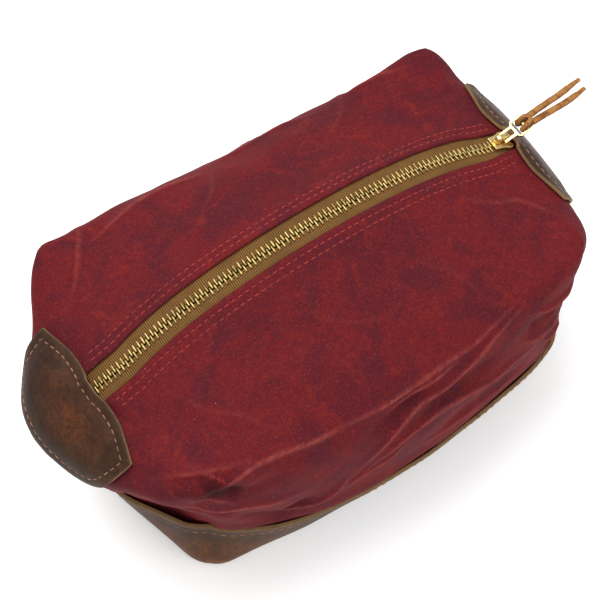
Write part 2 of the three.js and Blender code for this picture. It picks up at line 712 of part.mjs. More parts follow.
piece("leather_base", leatherBase(), LEATHER, bag);
piece("canvas_floor", canvasFloor(), LINING, bag);
for (const [side, way] of [["left", -1], ["right", 1]]) {
  piece(`${side}_end_patch`, endPatch(way), LEATHER, bag);
  piece(`${side}_seam_binding`, seamBinding(way), LINING, bag);
}
for (const [side, way] of [["front", -1], ["back", 1]]) {
  piece(`canvas_${side}_panel`, canvasPanel(way), CANVAS, bag);
  piece(`canvas_${side}_lip`, canvasLip(way), CANVAS, bag);
  piece(`zip_tape_${side}`, zipTape(way), TAPE, bag);
  piece(`zip_teeth_${side}`, zipTeeth(way), BRASS, bag);
  piece(`zip_top_stop_${side}`, topStop(way), BRASS, bag);
}
piece("zip_bottom_stop", bottomStop(), BRASS, bag);

const slider = new THREE.Group();
slider.position.set(SLIDER_X, 0, arcHeight(SLIDER_X));
slider.rotation.y = Math.asin(SLIDER_X / ZIP_RADIUS);
bag.add(slider);
piece("zip_slider_body", sliderBody(), PALE_BRASS, slider);
piece("zip_slider_bridge", sliderBridge(), PALE_BRASS, slider);

const pull = new THREE.Group();
pull.position.set(PIVOT.x, 0, PIVOT.z);
pull.rotation.y = -THREE.MathUtils.degToRad(PULLER_LIFT);
slider.add(pull);
piece("zip_puller", puller(), PALE_BRASS, pull);

const lace = new THREE.Group();
lace.position.set(EYE_BAR_X, 0, 0);
pull.add(lace);
piece("lace_hitch", laceHitch(), LACE, lace);
piece("lace_tail_long", laceTail(LONG_TAIL), LACE, lace);
piece("lace_tail_short", laceTail(SHORT_TAIL), LACE, lace);

export default bag;
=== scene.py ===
"""Shaving kit bag: the visual model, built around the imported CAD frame.

Every length in a field is in millimetres unless its name says otherwise, and every finished
mesh is in metres in the frame of the CAD model: +X along the zip, +Y to the back, +Z up.
"""

import logging
import math
from dataclasses import dataclass, field
from enum import Enum
from typing import Callable, Sequence

import bpy
import numpy as np
from mathutils import Matrix, Vector, noise


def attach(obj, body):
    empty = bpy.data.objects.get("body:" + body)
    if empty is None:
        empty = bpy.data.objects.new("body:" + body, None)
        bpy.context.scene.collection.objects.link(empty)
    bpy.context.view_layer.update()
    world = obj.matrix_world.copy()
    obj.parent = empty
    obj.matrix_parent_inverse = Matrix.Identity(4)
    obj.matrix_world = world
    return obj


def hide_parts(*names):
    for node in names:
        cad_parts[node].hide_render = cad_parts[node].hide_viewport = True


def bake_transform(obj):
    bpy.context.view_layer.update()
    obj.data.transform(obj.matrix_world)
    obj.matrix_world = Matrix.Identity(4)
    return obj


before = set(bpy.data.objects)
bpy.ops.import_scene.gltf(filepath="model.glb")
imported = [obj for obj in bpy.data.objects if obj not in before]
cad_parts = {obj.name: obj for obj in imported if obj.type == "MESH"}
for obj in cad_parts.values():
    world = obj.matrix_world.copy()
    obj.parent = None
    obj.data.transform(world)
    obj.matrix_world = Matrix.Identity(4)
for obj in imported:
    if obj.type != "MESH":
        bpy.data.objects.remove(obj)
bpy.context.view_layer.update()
LOG = logging.getLogger("kit_bag")
MM = 0.001

Point = tuple[float, float, float]
Colour = tuple[float, float, float, float]
Array = np.ndarray


# ---------------------------------------------------------------- the workbench


def in_metres(place: Sequence[float]) -> Point:
    """A place or a size in mm, in metres."""
    return tuple(float(value) * MM for value in place)


def deselect_all() -> None:
    """Leaves nothing selected, the CAD nodes included."""
    bpy.ops.object.select_all(action="DESELECT")


def pick(piece: bpy.types.Object) -> None:
    """Makes one piece the only selected one, and the active one."""
    deselect_all()
    piece.select_set(True)
    bpy.context.view_layer.objects.active = piece


def apply_modifiers(piece: bpy.types.Object) -> None:
    """Applies every modifier of a piece, from the top of its stack."""
    pick(piece)
    for modifier in list(piece.modifiers):
        bpy.ops.object.modifier_apply(modifier=modifier.name)


def settle(piece: bpy.types.Object) -> None:
    """Puts a piece's place, turn and scale into its mesh."""
    pick(piece)
    bpy.ops.object.transform_apply(location=True, rotation=True, scale=True)


def edit_all(piece: bpy.types.Object, *operations: Callable[[], object]) -> None:
    """Runs edit-mode operators in turn on the whole of a piece."""
    pick(piece)
    bpy.ops.object.mode_set(mode="EDIT")
    bpy.ops.mesh.select_all(action="SELECT")
    for operation in operations:
        operation()
    bpy.ops.object.mode_set(mode="OBJECT")


def merge_doubles(piece: bpy.types.Object, distance: float = 1e-6) -> None:
    """Merges the vertices of a piece that lie within a distance in metres of each other."""
    edit_all(piece, lambda: bpy.ops.mesh.remove_doubles(threshold=distance))


def smooth(piece: bpy.types.Object, degrees: float = 40.0) -> None:
    """Shades a piece smooth, apart from edges sharper than an angle."""
    pick(piece)
    bpy.ops.object.shade_smooth_by_angle(angle=math.radians(degrees))


def thicken(piece: bpy.types.Object, wall: float, lining: int = 0, rim: int = 0) -> None:
    """Gives a sheet its wall, inwards from its outer face.

    Args:
        piece: the sheet.
        wall: the wall, in mm.
        lining: how many material slots further on the inner face's material is.
        rim: the same for the cut edges.
    """
    solidify = piece.modifiers.new("wall", "SOLIDIFY")
    solidify.thickness = wall * MM
    solidify.offset = -1.0
    solidify.use_even_offset = False
    solidify.use_rim = True
    solidify.material_offset = lining
    solidify.material_offset_rim = rim
    apply_modifiers(piece)


def soften_edges(
    piece: bpy.types.Object, width: float, steps: int = 2, degrees: float = 35.0,
) -> None:
    """Rounds a piece's sharp edges with a bevel of a width in mm."""
    bevel = piece.modifiers.new("soft edges", "BEVEL")
    bevel.width = width * MM
    bevel.segments = steps
    bevel.limit_method = "ANGLE"
    bevel.angle_limit = math.radians(degrees)
    bevel.use_clamp_overlap = True
    apply_modifiers(piece)


def join_pieces(pieces: Sequence[bpy.types.Object], name: str) -> bpy.types.Object:
    """Joins several pieces into the first one, under a name."""
    deselect_all()
    for piece in pieces:
        piece.select_set(True)
    bpy.context.view_layer.objects.active = pieces[0]
    if len(pieces) > 1:
        bpy.ops.object.join()
    pieces[0].name = name
    return pieces[0]


def lay_copies(model: bpy.types.Object, places: Sequence[Matrix], name: str) -> bpy.types.Object:
    """Copies a model to each place, each copy with its own mesh, and joins the copies.

    Args:
        model: the piece that repeats, built at the origin. It is removed at the end.
        places: where each copy goes.
        name: the joined piece's name.

    Returns:
        The joined piece.
    """
    copies = []
    for place in places:
        copy = model.copy()
        copy.data = model.data.copy()
        copy.data.transform(place)
        bpy.context.collection.objects.link(copy)
        copies.append(copy)
    mesh = model.data
    bpy.data.objects.remove(model)
    bpy.data.meshes.remove(mesh)
    return join_pieces(copies, name)


def frame_on(place: Array, along: Array, outward: Array) -> Matrix:
    """A frame with X along a line and Z outwards, from a place in mm."""
    z_axis = Vector(outward).normalized()
    x_axis = Vector(along)
    x_axis = (x_axis - z_axis * x_axis.dot(z_axis)).normalized()
    y_axis = z_axis.cross(x_axis)
    turned = Matrix((x_axis, y_axis, z_axis)).transposed().to_4x4()
    return Matrix.Translation(Vector(place) * MM) @ turned


def lay_grid(name: str, places: Array, chart: Array | None = None) -> bpy.types.Object:
    """Adds a primitive grid and lays its vertices on a surface.

    Args:
        name: the new piece's name.
        places: (columns, rows, 3) places in mm. Outwards is to the right of a column's
            direction when the rows run upwards.
        chart: (columns, rows, 2) UV in metres of cloth.

    Returns:
        The piece, with the vertex of column c and row r at index c + r * columns.
    """
    columns, rows = places.shape[:2]
    deselect_all()
    bpy.ops.mesh.primitive_grid_add(x_subdivisions=columns - 1, y_subdivisions=rows - 1, size=2)
    piece = bpy.context.active_object
    piece.name = name
    mesh = piece.data
    flat = np.empty(len(mesh.vertices) * 3)
    mesh.vertices.foreach_get("co", flat)
    flat = flat.reshape(-1, 3)
    column = np.rint((flat[:, 0] + 1) / 2 * (columns - 1)).astype(int)
    row = np.rint((flat[:, 1] + 1) / 2 * (rows - 1)).astype(int)
    mesh.vertices.foreach_set("co", (places[column, row] * MM).ravel())
    if chart is not None:
        corners = np.empty(len(mesh.loops), dtype=np.int32)
        mesh.loops.foreach_get("vertex_index", corners)
        uv = chart[column[corners], row[corners]]
        mesh.uv_layers.active.data.foreach_set("uv", uv.astype(np.float32).ravel())
    mesh.update()
    return piece


def write_mask(piece: bpy.types.Object, name: str, values: Array) -> None:
    """Stores one number per vertex that a material reads through an attribute."""
    attribute = piece.data.attributes.new(name, "FLOAT", "POINT")
    attribute.data.foreach_set("value", values.astype(np.float32).ravel())


def wear(piece: bpy.types.Object, *materials: bpy.types.Material) -> None:
    """Puts materials in a piece's slots, in order."""
    piece.data.materials.clear()
    for material in materials:
        piece.data.materials.append(material)


def steps_along(line: Array) -> Array:
    """The distance along a polyline at each of its points."""
    return np.concatenate([[0.0], np.cumsum(np.linalg.norm(np.diff(line, axis=0), axis=1))])


def smooth_step(values: Array) -> Array:
    """0 below 0, 1 above 1 and a smooth rise between."""
    clipped = np.clip(values, 0.0, 1.0)
    return clipped * clipped * (3 - 2 * clipped)


def points_along(line: Array, run: Array, wanted: Array | float) -> Array:
    """Places at wanted distances on a polyline whose points lie at the distances in run."""
    return np.stack([np.interp(wanted, run, values) for values in line.T], axis=-1)


def lumps(places: Array, size: float, shift: Point = (0.0, 0.0, 0.0)) -> Array:
    """Soft unevenness from -1 to 1 at each place, in bumps of about a size in mm."""
    spots = places.reshape(-1, 3)
    values = [noise.noise(Vector(place) / size + Vector(shift)) for place in spots]
    return np.array(values).reshape(places.shape[:-1])


def bent_line(points: Sequence[Point], count: int) -> Array:
    """A smooth line through a few points, at evenly spaced steps.

    Args:
        points: the points that it passes through.
        count: how many points come back.

    Returns:
        (count, 3) points.
    """
    knots = np.asarray(points, float)
    guard = np.vstack([2 * knots[0] - knots[1], knots, 2 * knots[-1] - knots[-2]])
    pieces = []
    for index in range(len(knots) - 1):
        before, start, end, after = guard[index : index + 4]
        share = np.linspace(0, 1, 16, endpoint=False)[:, None]
        pieces.append(hermite(share, start, end, (end - before) / 2, (after - start) / 2))
    fine = np.vstack([*pieces, knots[-1:]])
    length = steps_along(fine)
    wanted = np.linspace(0, length[-1], count)
    return points_along(fine, length, wanted)


def bow_back(places: Array) -> Array:
    """Lets the zip run a little towards the back between its ends, as on a filled bag."""
    x, y, z = places[..., 0], places[..., 1], places[..., 2]
    share = np.clip(1 - np.abs(x / BOW_HALF_RUN) ** 5, 0, 1) * (z > TOP_HEIGHT)
    share = share * smooth_step((BOW_REACH - np.abs(y)) / BOW_FADE)
    bowed = places.copy()
    bowed[..., 1] += ZIP_BOW * share
    return bowed


def hermite(share: Array, start: Array, end: Array, leave: Array, arrive: Array) -> Array:
    """A cubic from start to end with the slopes that it leaves and arrives with."""
    square, cube = share**2, share**3
    return (
        (2 * cube - 3 * square + 1) * start
        + (cube - 2 * square + share) * leave
        + (3 * square - 2 * cube) * end
        + (cube - square) * arrive
    )


# ---------------------------------------------------------------- the filled bag's shape


@dataclass(frozen=True)
class Section:
    """One level of the filled bag: its corner, the middles of its long side and of its end."""

    corner: Point
    side: tuple[float, float]
    end: tuple[float, float]
    tuck: float = 0.0


@dataclass(frozen=True)
class Swell:
    """A place where the filled bag stands out or sinks in, fading over an ellipsoid."""

    at: Point
    reach: Point
    by: Point


class Crest(Enum):
    """How a fold rises: rounded, pinched to a crest, or as a step over what lies below it."""

    ROUND = "round"
    PINCH = "pinch"
    STEP = "step"


@dataclass(frozen=True)
class Fold:
    """A fold along a line on the cloth, in mm.

    A negative height is a hollow. A positive rub pales the crest as wear; a negative rub paints
    shade into the hollow.
    """

    line: tuple[Point, ...]
    height: float
    width: float
    crest: Crest
    # above 0 a rubbed crest, below 0 painted shade in the hollow
    rub_and_shade: float
    lean: float = 0.0


def pinch(height: float, width: float, rub_and_shade: float, *line: Point) -> Fold:
    """A fold pinched to a crest."""
    return Fold(line, height, width, Crest.PINCH, rub_and_shade)


def hollow(height: float, width: float, rub_and_shade: float, *line: Point) -> Fold:
    """A rounded dip: its height is below 0."""
    return Fold(line, height, width, Crest.ROUND, rub_and_shade)


def step(height: float, width: float, rub_and_shade: float, lean: float, *line: Point) -> Fold:
    """A fold that leans out over what lies below it."""
    return Fold(line, height, width, Crest.STEP, rub_and_shade, lean)


@dataclass
class Loft:
    """A stack of sections, joined by smooth curves from level 0 to the last."""

    sections: tuple[Section, ...]
    swells: tuple[Swell, ...] = ()
    corner_radius: float = 13.0

    def skin(self, around: Array, level: Array) -> Array:
        """Places on the outer skin.

        Args:
            around: 0 to 4: front from the left, right end, back, left end.
            level: 0 at the first section, and so on.

        Returns:
            Places in mm, with one more axis than the arguments.
        """
        around, level = np.broadcast_arrays(np.asarray(around, float), np.asarray(level, float))
        shape = around.shape
        turn = np.mod(around.ravel(), 4.0)
        face = np.floor(turn).astype(int)
        run = (2 * (turn - face) - 1) * np.where(face < 2, 1, -1)
        fall = 1 - run**2
        way = np.where((face == 0) | (face == 3), -1, 1)
        table = self.between(level.ravel())
        corner_x, corner_y, corner_z = table[:, 0], table[:, 1], table[:, 2]
        reach = table[:, 5] - np.where(face == 1, table[:, 7], 0)
        is_side = face % 2 == 0
        x = np.where(is_side, corner_x * run, way * (corner_x + (reach - corner_x) * fall))
        y = np.where(is_side, way * (corner_y + (table[:, 3] - corner_y) * fall), corner_y * run)
        z = corner_z + (np.where(is_side, table[:, 4], table[:, 6]) - corner_z) * fall
        half = np.where(is_side, corner_x, corner_y)
        radius = np.minimum(self.corner_radius, corner_y * 0.6)
        near = np.clip(1 - (1 - np.abs(run)) * half / radius, 0, None) ** 2
        pull = 0.29 * math.sqrt(0.5) * radius * near
        places = np.stack([x - np.sign(x) * pull, y - np.sign(y) * pull, z], axis=1)
        return self.filled_out(places).reshape(*shape, 3)

    def filled_out(self, places: Array) -> Array:
        """Moves places with the swells that they lie in."""
        moved = places.copy()
        for swell in self.swells:
            away = np.sum(((places - swell.at) / np.asarray(swell.reach)) ** 2, axis=-1)
            moved += np.exp(-away)[..., None] * np.asarray(swell.by)
        return moved

    def even_levels(self, low: float, high: float, count: int) -> Array:
        """Levels from low to high at even distances up the cloth."""
        fine = np.linspace(low, high, 240)
        length = np.mean([steps_along(self.skin(turn, fine)) for turn in (0.5, 1.0, 1.5)], axis=0)
        return np.interp(np.linspace(0, length[-1], count + 1), length, fine)

    def between(self, level: Array) -> Array:
        """The sections' numbers at each level."""
        rows = np.array([[*s.corner, *s.side, *s.end, s.tuck] for s in self.sections])
        guard = np.vstack([2 * rows[0] - rows[1], rows, 2 * rows[-1] - rows[-2]])
        level = np.clip(level, 0, len(rows) - 1 - 1e-9)
        index = np.floor(level).astype(int)
        share = (level - index)[:, None]
        before, start, end, after = (guard[index + step] for step in range(4))
        return hermite(share, start, end, (end - before) / 2, (after - start) / 2)


BASE_LOFT = Loft(
    sections=(
        Section((97, 59.5, 0), (67, 0), (109, 0)),
        Section((98.5, 61, 3), (70, 3), (111, 3)),
        Section((99.5, 63, 12), (75.5, 12), (115, 12)),
        Section((100, 64.5, 35), (82.5, 35), (120, 35)),
    ),
    swells=(
        Swell((84, -70, 36), (34, 26, 30), (1.0, -3.2, 0.0)),
        Swell((-96, -60, 38), (26, 24, 26), (5.0, 7.0, 1.0)),
        Swell((-114, -38, 38), (18, 18, 26), (3.5, 0.0, 0.5)),
        Swell((-97, -60, 0), (24, 20, 16), (-1.8, -2.8, 0.0)),
    ),
)

CANVAS_LOFT = Loft(
    sections=(
        Section((96.9, 57.4, 2.7), (64.3, 2.7), (106.3, 2.7)),
        Section((98, 60, 14), (73.4, 14), (112.9, 14)),
        Section((98.2, 61.8, 35), (79.4, 35), (117.0, 35)),
        Section((99.5, 65, 62), (82, 59.75), (124, 59), 2.55),
        Section((101.5, 65.5, 89.75), (79.5, 83), (132, 76.25), 6.8),
        Section((104, 64.5, 110), (71.5, 100.25), (131.5, 86.75), 8.5),
        Section((105.5, 47.5, 108.5), (54.5, 112.5), (126, 95), 7.65),
        Section((107.5, 26.2, 107), (30.5, 122), (117.2, 102.5), 3.4),
        Section((110, 7.35, 107.05), (7.35, 131), (110, 107.05)),
    ),
    swells=(
        Swell((84, -70, 40), (34, 26, 30), (1.0, -3.4, 0.0)),
        Swell((-96, -60, 38), (26, 24, 28), (5.0, 7.0, 0.0)),
        Swell((-114, -38, 38), (18, 18, 28), (3.5, 0.0, 0.0)),
        Swell((-117, -50, 60), (18, 18, 26), (8.0, 7.0, 0.0)),
        Swell((-132, 12, 84), (20, 24, 24), (-5.0, 0.0, 0.0)),
        Swell((-128, 52, 90), (22, 24, 34), (6.0, 0.0, 0.0)),
        Swell((-101, 66, 108), (20, 18, 22), (3.0, 4.5, 3.0)),
        Swell((-60, 68, 104), (30, 16, 24), (0.0, 2.0, 1.0)),
        Swell((30, 72, 100), (46, 16, 30), (0.0, -3.0, 0.0)),
        Swell((105, 64, 108), (20, 18, 22), (4.5, 0.0, 0.5)),
        Swell((74, 70, 106), (26, 14, 22), (0.0, -4.5, 0.0)),
        Swell((119, -36, 50), (24, 36, 26), (-14.0, 2.0, 0.0)),
        Swell((-88, -64, 38), (18, 12, 12), (-1.2, -1.6, 0.0)),
    ),
)

ZIP_BOW = 3.6  # how far the zip's middle lies towards the back
BOW_HALF_RUN = 93.0  # distance from the middle at which the zip is straight again
BOW_REACH = 62.0  # distance beside the zip at which the canvas lies still
BOW_FADE = 46.0
TOP_HEIGHT = 90.0  # everything on the bag's top lies higher
HINGE_LEVEL = 5.9  # section at which the opening lips start
LIP_SHARE = 0.95  # share of the long side that opens with the zip
SLOT_LEVEL = 8.0  # the edge of the zip's opening

# Each fold's third number is its rub: above 0 a paler rubbed crest, below 0 painted shade in the
# hollow.
CANVAS_FOLDS: tuple[Fold, ...] = (
    # the pocket below the left patch's tip, with painted shade in it, and the smiles round it
    step(1.1, 4.8, 0.5, 0.8, (-104, -50, 108), (-97, -54, 108), (-88, -58, 108), (-76, -62, 107)),
    hollow(-3.0, 5.6, -1.0, (-97, -61, 105), (-92, -63, 103), (-86, -66, 100), (-79, -68, 96)),
    pinch(0.6, 3.2, 0.6, (-92, -55, 109), (-89, -60, 107), (-85, -65, 103)),
    pinch(0.9, 3.8, 0.8, (-102, -59, 105), (-95, -65, 101), (-87, -69, 92)),
    pinch(1.7, 3.6, 1.0, (-112, -52, 97), (-105, -60, 96), (-98, -66, 91), (-84, -70, 85),
        (-70, -73, 78), (-56, -76, 74)),
    hollow(-2.4, 5.0, -0.35, (-112, -52, 92), (-104, -62, 86), (-92, -68, 76), (-78, -72, 70)),
    hollow(-3.4, 6.5, -0.45, (-88, -69, 72), (-76, -73, 58), (-66, -75, 50), (-56, -77, 56),
        (-50, -78, 68)),
    pinch(2.2, 2.6, 0.8, (-72, -74, 52), (-62, -76, 50), (-50, -78, 52), (-40, -79, 60),
        (-32, -80, 70)),
    pinch(1.7, 2.6, 1.0, (-92, -67, 107), (-84, -67, 106), (-72, -66, 107), (-58, -67, 105),
        (-44, -69, 103), (-28, -70, 102)),
    hollow(-1.8, 5.0, 0.0, (-90, -68, 98), (-74, -70, 97), (-58, -71, 98)),
    # the long folds to the right, level with the leather's rim
    pinch(1.6, 2.6, 1.0, (-34, -71, 104), (-14, -72, 101), (4, -72, 101), (22, -71, 101),
        (38, -71, 102), (56, -68, 105)),
    pinch(1.0, 2.0, 0.9, (-10, -75, 97), (-2, -74, 98), (12, -74, 98), (26, -73, 99)),
    pinch(2.4, 2.9, 1.0, (-30, -80, 66), (-19, -80, 78), (-8, -78, 87), (4, -77, 92), (18, -77, 91),
        (31, -76, 94), (45, -73, 98), (60, -70, 103)),
    hollow(-1.9, 5.0, -0.3, (-24, -79, 90), (-6, -78, 96), (14, -77, 97)),
    pinch(2.4, 2.9, 1.0, (-28, -81, 62), (-16, -81, 70), (-2, -81, 78), (14, -81, 80),
        (30, -80, 76), (44, -79, 71), (58, -77, 70), (74, -74, 66)),
    hollow(-2.1, 5.5, -0.3, (0, -80, 86), (18, -80, 85), (36, -78, 84), (52, -76, 88)),
    pinch(1.6, 2.4, 0.9, (-40, -80, 56), (-28, -81, 61), (-16, -82, 64), (-4, -82, 70)),
    hollow(-1.9, 6.0, 0.0, (10, -82, 62), (30, -81, 60), (52, -79, 56), (72, -76, 50)),
    pinch(1.4, 2.4, 0.7, (4, -82, 54), (24, -82, 54), (46, -80, 50), (66, -77, 45)),
    pinch(2.2, 2.4, 1.0, (62, -76, 80), (71, -75, 75), (81, -73, 71), (90, -70, 74)),
    pinch(2.4, 2.6, 0.9, (68, -74, 97), (77, -72, 92), (87, -70, 90), (97, -67, 93)),
    hollow(-2.6, 4.5, -0.4, (64, -75, 89), (74, -74, 84), (86, -71, 81)),
    pinch(1.9, 2.4, 0.9, (76, -74, 60), (86, -71, 56), (96, -66, 58)),
    hollow(-1.7, 3.6, 0.0, (80, -73, 46), (89, -70, 44), (98, -65, 46)),
    # shallow creases on the top
    pinch(0.5, 3.4, 0.25, (-84, -26, 121), (-76, -38, 117), (-66, -46, 113), (-58, -56, 110)),
    pinch(0.9, 3.0, 0.4, (70, -20, 121), (80, -26, 117), (92, -30, 112), (101, -42, 109)),
    hollow(-0.9, 3.2, 0.0, (86, -12, 118), (94, -20, 113), (100, -34, 110)),
    pinch(0.35, 3.4, 0.15, (-20, -30, 127), (-4, -42, 122), (16, -48, 119)),
    pinch(0.4, 3.4, 0.15, (30, -30, 125), (44, -44, 118), (50, -58, 110)),
    pinch(1.2, 3.0, 0.8, (-70, 60, 110), (-52, 64, 107), (-34, 66, 105), (-14, 64, 109)),
    pinch(1.4, 3.0, 0.8, (-10, 68, 102), (8, 67, 104), (28, 66, 104), (44, 62, 107)),
    pinch(1.3, 3.4, 0.5, (-96, 40, 111), (-88, 48, 112), (-80, 60, 110), (-74, 70, 100)),
    hollow(-1.4, 4.0, 0.0, (-104, 30, 108), (-97, 38, 111), (-92, 52, 111)),
    pinch(1.4, 3.0, 0.8, (60, 64, 106), (74, 62, 108), (88, 58, 109)),
    pinch(0.8, 3.6, 0.25, (40, 44, 116), (52, 52, 112), (60, 64, 104), (64, 76, 84)),
    pinch(0.7, 3.6, 0.25, (-30, 40, 121), (-18, 50, 117), (-12, 62, 108)),
    # the back and the ends, which sag in the same way
    pinch(2.2, 3.4, 0.9, (-86, 72, 84), (-60, 77, 76), (-30, 80, 74), (0, 81, 70)),
    hollow(-2.2, 6.0, 0.0, (-70, 76, 62), (-40, 80, 56), (-8, 81, 58), (24, 81, 52)),
    pinch(2.2, 3.4, 0.9, (-6, 80, 88), (26, 79, 80), (56, 77, 72), (84, 71, 74)),
    pinch(1.8, 3.0, 0.8, (10, 81, 60), (44, 80, 52), (78, 73, 50)),
    hollow(-2.0, 5.5, 0.0, (30, 78, 96), (54, 74, 92), (80, 70, 92)),
    pinch(2.0, 3.4, 0.8, (-122, -50, 70), (-126, -28, 62), (-127, -4, 58), (-126, 22, 62)),
    pinch(1.8, 3.2, 0.8, (-118, 54, 84), (-124, 40, 72), (-127, 24, 70)),
    hollow(-2.0, 5.0, 0.0, (-116, -54, 50), (-121, -30, 46), (-122, 0, 44), (-120, 34, 48)),
    pinch(2.0, 3.4, 0.8, (112, -56, 76), (120, -36, 66), (122, -8, 60), (121, 24, 62)),
    pinch(1.8, 3.2, 0.8, (110, 58, 84), (119, 40, 72), (122, 20, 68)),
    hollow(-2.0, 5.0, 0.0, (112, -50, 48), (118, -20, 46), (119, 12, 44), (116, 44, 50)),
)


@dataclass
class Cloth:
    """The canvas's skin as one net of places, before it is cut into its pieces."""

    loft: Loft
    folds: tuple[Fold, ...]
    long_columns: int = 216
    end_columns: int = 120
    hidden_rows: int = 8
    wall_rows: int = 100
    lip_rows: int = 40
    rim_height: float = 35.0
    rim_sag: float = 1.3
    draw_in: float = 0.26
    hem_roll: float = 0.6
    hem_width: float = 1.4
    still_levels: float = 0.45
    patch_calm: float = 0.85
    tray_depth: float = 26.0
    around: Array = field(init=False)
    level: Array = field(init=False)
    places: Array = field(init=False)
    normals: Array = field(init=False)
    chart: Array = field(init=False)
    rub_and_shade: Array = field(init=False)

    def __post_init__(self) -> None:
        """Lays the net and folds it."""
        level = self.loft.even_levels
        self.level = np.concatenate(
            [
                level(0.0, 2.0, self.hidden_rows)[:-1],
                level(2.0, HINGE_LEVEL, self.wall_rows)[:-1],
                level(HINGE_LEVEL, SLOT_LEVEL, self.lip_rows),
            ]
        )
        long, end = self.long_columns, self.end_columns
        self.around = np.concatenate(
            [
                -0.5 + np.linspace(0, 0.5, end // 2 + 1)[:-1],
                np.linspace(0, 1, long + 1)[:-1],
                1 + np.linspace(0, 0.5, end // 2 + 1)[:-1],
                1.5 + np.linspace(0, 0.5, end // 4 + 1)[:-1],
                2 + np.linspace(0, 1, long // 2 + 1)[:-1],
                3 + np.linspace(0, 0.5, end // 4 + 1),
            ]
        )
        skin = self.loft.skin(self.around[:, None], self.level[None, :])
        self.chart = self._unroll(skin)
        self.places, self.rub_and_shade = self._folded(self._narrowed(skin))
        self.normals = self._normals(self.places)

    def columns(self, start: float, stop: float) -> slice:
        """The columns from one turn to another, both taken in."""
        first = int(np.argmin(np.abs(self.around - start)))
        last = int(np.argmin(np.abs(self.around - stop)))
        return slice(first, last + 1)

    def row(self, level: float) -> int:
        """The row nearest a level."""
        return int(np.argmin(np.abs(self.level - level)))

    def _unroll(self, skin: Array) -> Array:
        """UV in metres: the way round at mid height, and the way up each column."""
        middle = skin[:, self.row(4.0)]
        across = steps_along(middle)[:, None] + np.zeros(skin.shape[1])
        upwards = np.concatenate(
            [
                np.zeros((len(skin), 1)),
                np.cumsum(np.linalg.norm(np.diff(skin, axis=1), axis=2), axis=1),
            ],
            axis=1,
        )
        return np.stack([across, upwards], axis=2) * MM

    def _narrowed(self, skin: Array) -> Array:
        """Draws the opening in towards the closed slider, and lets the wall sag at the rim."""
        x, y, z = skin[..., 0], skin[..., 1], skin[..., 2]
        near_slider = smooth_step((x - 84) / 22) * smooth_step((24 - np.abs(y)) / 16)
        near_slider *= z > TOP_HEIGHT
        scale = 1 - self.draw_in * near_slider
        reach = np.hypot(x / 120, y / 80)
        over_rim = np.exp(-(((z - self.rim_height - 4.0) / 6.0) ** 2))
        tuck = -self.rim_sag * over_rim * (y < 0) * smooth_step((x + 108) / 30)
        inward = np.stack([x / 120, y / 80, np.zeros_like(x)], axis=-1)
        inward /= np.maximum(reach, 1e-6)[..., None]
        drawn = skin.copy()
        drawn[..., 1] *= scale
        from_edge = steps_along(skin[len(skin) // 3, ::-1])[::-1]
        roll = self.hem_roll * np.clip(1 - from_edge / self.hem_width, 0, 1) ** 2
        drawn[..., 2] -= roll[None, :] * (np.abs(y) < 9) * (np.abs(x) < 109)
        return bow_back(drawn - inward * tuck[..., None])

    def _normals(self, net: Array) -> Array:
        """Outward normals of a net that closes on itself round the bag."""
        ring = np.concatenate([net[-2:-1], net, net[1:2]])
        round_way = ring[2:] - ring[:-2]
        up_way = np.gradient(net, axis=1)
        normals = np.cross(round_way, up_way)
        return normals / np.maximum(np.linalg.norm(normals, axis=2, keepdims=True), 1e-9)

    def _folded(self, net: Array) -> tuple[Array, Array]:
        """Presses the folds and the soft unevenness of waxed cloth into the net.

        Args:
            net: the smooth net.

        Returns:
            The folded net, and each place's rub: above 0 a rubbed crest, below 0 painted shade in a
            hollow.
        """
        normals = self._normals(net)
        flat, outward = net.reshape(-1, 3), normals.reshape(-1, 3)
        lift = outward * self._unevenness(flat)[:, None]
        rub_and_shade = np.zeros(len(flat))
        for fold in self.folds:
            rise, rub_and_shade_here = press_fold(fold, flat, outward)
            lift += rise
            rub_and_shade = np.where(np.abs(rub_and_shade_here) > np.abs(rub_and_shade), rub_and_shade_here, rub_and_shade)
        below_edge = self.level[-1] - np.broadcast_to(self.level, net.shape[:2])
        calm = smooth_step(below_edge / self.still_levels).ravel()
        under_patch = smooth_step((np.abs(flat[:, 0]) - 106) / 6)
        under_patch *= smooth_step((flat[:, 2] - 72) / 14)
        under_patch *= smooth_step((44 - np.abs(flat[:, 1])) / 8)
        calm *= 1 - self.patch_calm * under_patch
        shown = smooth_step((flat[:, 2] - self.tray_depth) / 15)
        lift *= (calm * shown)[:, None]
        net = (flat + lift).reshape(net.shape)
        net[-1] = net[0]
        rub_and_shade_net = rub_and_shade.reshape(net.shape[:2])
        rub_and_shade_net[-1] = rub_and_shade_net[0]
        return net, rub_and_shade_net

    @staticmethod
    def _unevenness(places: Array) -> Array:
        """Soft lumps of a filled canvas bag, in mm."""
        wide = lumps(places, 42, (3.1, 7.7, 1.3))
        mid = lumps(places, 17, (9.2, 2.4, 5.5))
        fine = lumps(places, 7, (1.2, 8.4, 6.5))
        return 1.5 * wide + 0.55 * mid + 0.16 * fine


